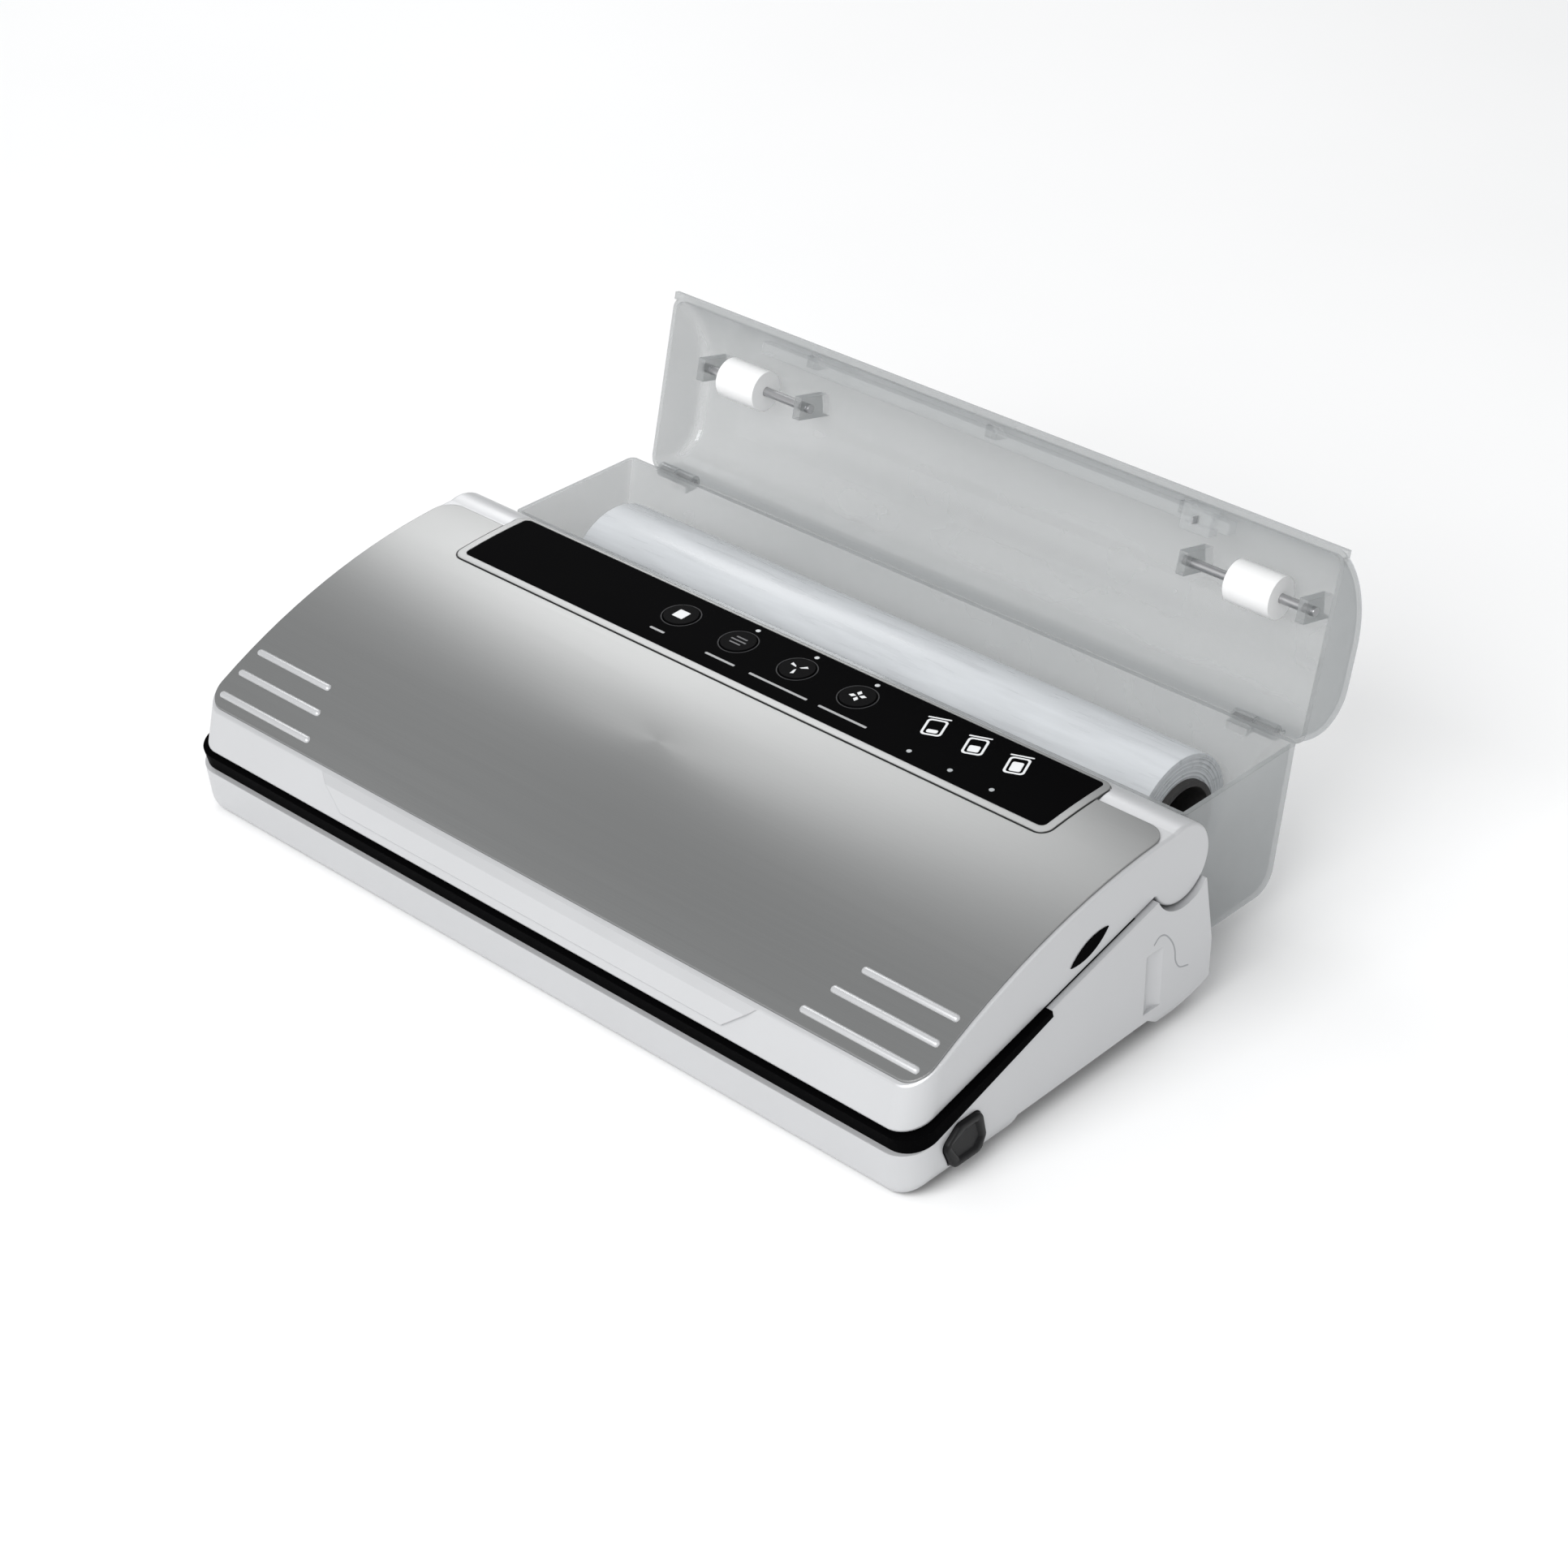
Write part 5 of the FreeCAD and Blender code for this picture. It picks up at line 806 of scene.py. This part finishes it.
@dataclass
class SideSeams:
    """Fine joint lines on the base's sides, ahead of the hinge ears."""

    half_width: float = 198.0
    width: float = 0.6
    thickness: float = 0.04
    lift: float = 0.02
    steps: int = 8
    knots: tuple[Spot, ...] = (
        (129.0, 45.5), (132.4, 47.8), (136.3, 46.3), (140.3, 41.4), (142.4, 36.4), (143.2, 31.5),
        (146.1, 27.3), (151.5, 25.5),
    )

    def path(self) -> list[Vector]:
        """Draw a smooth line through the knots.

        Returns:
            The line's points, as depth and height.
        """
        knots = [Vector(knot) for knot in self.knots]
        padded = [knots[0] * 2 - knots[1], *knots, knots[-1] * 2 - knots[-2]]
        points = []
        for before, start, end, after in zip(padded, padded[1:], padded[2:], padded[3:]):
            slope = end - before
            bow = 2 * before - 5 * start + 4 * end - after
            twist = 3 * start - before - 3 * end + after
            for i in range(self.steps):
                u = i / self.steps
                points.append(0.5 * (2 * start + slope * u + bow * u**2 + twist * u**3))
        return points + [knots[-1]]

    def build(self) -> None:
        """Make one line on each side."""
        line = self.path()
        last = len(line) - 1
        for name, side in (("right", 1), ("left", -1)):
            seam = Piece(f"side_seam_{name}")
            x = side * (self.half_width + self.lift)
            upper, lower = [], []
            for i, point in enumerate(line):
                along = (line[min(i + 1, last)] - line[max(i - 1, 0)]).normalized()
                off = Vector((-along.y, along.x)) * self.width / 2
                upper.append(PLACE.at(x, *(point + off)))
                lower.append(PLACE.at(x, *(point - off)))
            seam.patch(upper + list(reversed(lower)), WIDTHWAYS * (side * self.thickness * MM))
            seam.done(Body.BASE, "seam", smooth=False)


@dataclass
class LidMarks:
    """Painted highlights on the embossed bars, laid as lighter satin rods over them, and a painted shadow
    line under the grip lip.
    """

    count: int = 3
    first: float = 6.7
    pitch: float = 10.5
    outer: float = 189.0
    length: float = 53.0
    shortening: float = 5.3
    radius: float = 1.66
    sunk: float = 0.6
    cap_steps: int = 4
    round_steps: int = 20
    # The fields from here down place the painted shadow strip under the grip lip.
    lip_low: float = 34.5
    lip_half: float = 105.0
    lean: float = 0.2385
    line: float = 0.5
    shadow_lift: float = 0.02
    shadow_thickness: float = 0.05

    def capsule(self, piece: Piece, start: float, end: float, depth: float) -> None:
        """Add one round-ended bar along the width.

        Args:
            piece: the piece that it is added to.
            start: where its straight part starts along the width.
            end: where its straight part ends.
            depth: its place behind the lid's front face.
        """
        centre = PLACE.at(start, depth, CURVE.height(depth, -self.sunk))
        angles = [math.pi / 2 * i / self.cap_steps for i in range(self.cap_steps + 1)]
        caps = [(-self.radius * math.cos(a), self.radius * math.sin(a)) for a in angles]
        caps += [(end - start + self.radius * math.sin(a), self.radius * math.cos(a)) for a in angles]
        profile = [centre + Vector((x * MM, 0, rise * MM)) for x, rise in caps]
        piece.spun(profile, centre, WIDTHWAYS, self.round_steps)

    def bar_highlight_rods(self) -> None:
        """Make the painted highlights on the bars at both front corners, each row shorter than the last:
        satin silver rods laid over the brushed ribs.
        """
        crests = Piece("bar_highlight_rods")
        for i in range(self.count):
            inner = self.outer - self.length + i * self.shortening
            depth = self.first + i * self.pitch
            self.capsule(crests, inner, self.outer, depth)
            self.capsule(crests, -self.outer, -inner, depth)
        # Satin silver paint, lighter than the brushed sheet, paints the bars' highlight.
        crests.done(Body.LID, "silver_paint")

    def grip_painted_shadow(self) -> None:
        """Make the painted shadow under the grip lip: a thin grey strip on the leaning front face."""
        line = Piece("grip_painted_shadow")
        corners = []
        for side, drop in ((-1, 0.0), (1, 0.0), (1, self.line), (-1, self.line)):
            height = self.lip_low - drop
            depth = (height - CURVE.front_top) * self.lean - self.shadow_lift
            corners.append(PLACE.at(side * self.lip_half, depth, height))
        # A thin grey strip: painted shadow where the lip overhangs the face.
        line.patch(corners, Vector((0, -self.shadow_thickness * MM, 0)))
        line.done(Body.LID, "seam")

    def build(self) -> None:
        """Make the painted bar highlights and the painted shadow under the lip."""
        self.bar_highlight_rods()
        self.grip_painted_shadow()


@dataclass
class ReleaseCaps:
    """The release buttons with soft rims and dished faces, in place of the plain ones.

    Each ring gives how far the outline is grown there and how far out it lies.
    """

    depth: float = 22.0
    height: float = 16.8
    length: float = 22.5
    tall: float = 17.5
    slant: float = 5.0
    top_slant: float = 8.0
    corner: float = 3.6
    rings: tuple[Spot, ...] = (
        (0.0, 195.8), (0.0, 199.3), (-0.25, 199.8), (-0.8, 200.0), (-2.3, 200.0), (-2.9, 199.7),
        (-3.3, 199.0),
    )

    def outline(self, margin: float) -> list[Spot]:
        """Draw the slanted six-sided outline with round corners.

        Args:
            margin: how far it is grown on every side.

        Returns:
            The outline's points.
        """
        long, tall = self.length / 2 + margin, self.tall / 2 + margin
        corners = [
            (-long, self.slant / 2), (-long + self.slant, -tall), (long - self.slant / 2, -tall),
            (long, -self.slant / 2), (long - self.slant / 2, tall), (-long + self.top_slant, tall),
        ]
        return round_corners([Vector(corner) for corner in corners], self.corner + margin)

    def build(self) -> None:
        """Make both buttons."""
        for name, side, body in (("right", 1, Body.RELEASE_RIGHT), ("left", -1, Body.RELEASE_LEFT)):
            cap = Piece(f"release_cap_{name}")
            cap.loft(
                [PLACE.at(side * x, self.depth + a, self.height + b) for a, b in self.outline(margin)]
                for margin, x in self.rings
            )
            thing = cap.done(body, "black_matte")
            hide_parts(f"release_button_{name}")


class Dresser:
    """Gives every node of the CAD part its finish."""

    def dress(self, nodes: dict[str, bpy.types.Object], record: dict) -> None:
        """Put each node's finish on it.

        Args:
            nodes: the part's nodes by name.
            record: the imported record, which names each node's material slot.
        """
        slots = {part["node"]: part["material_slot"] for part in record["subparts"]}
        for name, node in nodes.items():
            key = NODE_FINISHES.get(name, slots[name])
            node.data.materials.clear()
            node.data.materials.append(material(key))
            LOG.info("%s is dressed in %s", name, key)


@dataclass(frozen=True)
class Lamp:
    """A soft rectangular light, in metres and watts."""

    name: str
    place: tuple[float, float, float]
    size: Spot
    power: float

    def hang(self, aim: Vector) -> None:
        """Hang the lamp, turned to a point.

        Args:
            aim: the point that it shines on.
        """
        lamp = bpy.data.lights.new(self.name, "AREA")
        lamp.shape = "RECTANGLE"
        lamp.size, lamp.size_y = self.size
        lamp.energy = self.power
        thing = bpy.data.objects.new(self.name, lamp)
        thing.location = self.place
        thing.rotation_euler = (aim - Vector(self.place)).to_track_quat("-Z", "Y").to_euler()
        bpy.context.scene.collection.objects.link(thing)


@dataclass
class Studio:
    """Floor, backdrop, lights and the photo's camera."""

    azimuth: float = 43.5218
    elevation: float = 32.1809
    roll: float = -0.4041
    centre: tuple[float, float, float] = (801.43, -710.38, 755.11)
    focal: float = 77.80
    sensor: float = 36.0
    shift: Spot = (0.00852, 0.00919)
    clip: Spot = (0.05, 50.0)
    floor_half: float = 6.0
    floor_colour: Colour = (0.92, 0.92, 0.92)
    floor_grain: float = 3.0
    floor_mottle: float = 0.01
    sky: Colour = (0.62, 0.625, 0.63)
    backdrop: Colour = (1.0, 1.0, 1.0)
    aim: tuple[float, float, float] = (0.0, 0.0, 0.05)
    lamps: tuple[Lamp, ...] = (
        Lamp("key", (0.3, -1.7, 1.4), (1.6, 1.2), 38.0),
        Lamp("side", (1.7, 0.3, 1.2), (1.0, 1.0), 3.0),
        Lamp("back", (-1.25, 0.95, 1.34), (0.8, 0.8), 6.5),
    )

    def floor(self) -> None:
        """Lay a wide pale floor."""
        shape = bmesh.new()
        bmesh.ops.create_grid(shape, x_segments=2, y_segments=2, size=self.floor_half)
        data = bpy.data.meshes.new("floor")
        shape.to_mesh(data)
        shape.free()
        tree = ShaderTree("pale_floor")
        tint = tree.tinted(tree.noise((self.floor_grain,) * 3), self.floor_colour, self.floor_mottle)
        data.materials.append(tree.close(tree.add("ShaderNodeBsdfDiffuse", Color=tint).outputs["BSDF"]))
        thing = bpy.data.objects.new("floor", data)
        bpy.context.scene.collection.objects.link(thing)

    def backdrop_world(self) -> None:
        """Set a soft sky that the camera sees as a pale backdrop."""
        world = bpy.data.worlds.new("studio")
        world.use_nodes = True
        bpy.context.scene.world = world
        nodes, links = world.node_tree.nodes, world.node_tree.links
        nodes.clear()
        path = nodes.new("ShaderNodeLightPath")
        sky, pale = nodes.new("ShaderNodeBackground"), nodes.new("ShaderNodeBackground")
        sky.inputs["Color"].default_value = (*self.sky, 1.0)
        pale.inputs["Color"].default_value = (*self.backdrop, 1.0)
        mix, out = nodes.new("ShaderNodeMixShader"), nodes.new("ShaderNodeOutputWorld")
        links.new(path.outputs["Is Camera Ray"], mix.inputs["Fac"])
        links.new(sky.outputs["Background"], mix.inputs[1])
        links.new(pale.outputs["Background"], mix.inputs[2])
        links.new(mix.outputs["Shader"], out.inputs["Surface"])

    def camera(self) -> None:
        """Set the camera where the photo was taken from."""
        az, el, turn = (math.radians(angle) for angle in (self.azimuth, self.elevation, self.roll))
        back = Vector((math.sin(az) * math.cos(el), -math.cos(az) * math.cos(el), math.sin(el)))
        level = Vector((math.cos(az), math.sin(az), 0))
        upward = back.cross(level)
        right = level * math.cos(turn) + upward * math.sin(turn)
        up = upward * math.cos(turn) - level * math.sin(turn)
        lens = bpy.data.cameras.new("camera")
        lens.lens = self.focal
        lens.sensor_width = self.sensor
        lens.shift_x, lens.shift_y = self.shift
        lens.clip_start, lens.clip_end = self.clip
        thing = bpy.data.objects.new("camera", lens)
        turned = Matrix((right, up, back)).transposed().to_4x4()
        thing.matrix_world = Matrix.Translation(PLACE.at(*self.centre)) @ turned
        bpy.context.scene.collection.objects.link(thing)
        bpy.context.scene.camera = thing

    def build(self) -> None:
        """Set the whole stage."""
        bpy.context.scene.view_settings.view_transform = "Standard"
        self.floor()
        self.backdrop_world()
        for lamp in self.lamps:
            lamp.hang(Vector(self.aim))
        self.camera()


@dataclass
class Sealer:
    """The whole dressed part."""

    makers: tuple[Callable[[], None], ...]

    def build(self) -> None:
        """Dress the CAD nodes and add the new pieces."""
        Dresser().dress(frame["nodes"], frame["record"])
        for make in self.makers:
            make()


def main() -> None:
    """Build the scene."""
    logging.basicConfig(level=logging.INFO)
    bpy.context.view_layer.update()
    Studio().build()
    assemblies = (PanelPrint(), WoundRoll(), SideSeams(), LidMarks(), ReleaseCaps())
    Sealer(tuple(assembly.build for assembly in assemblies)).build()


if __name__ == "__main__":
    main()
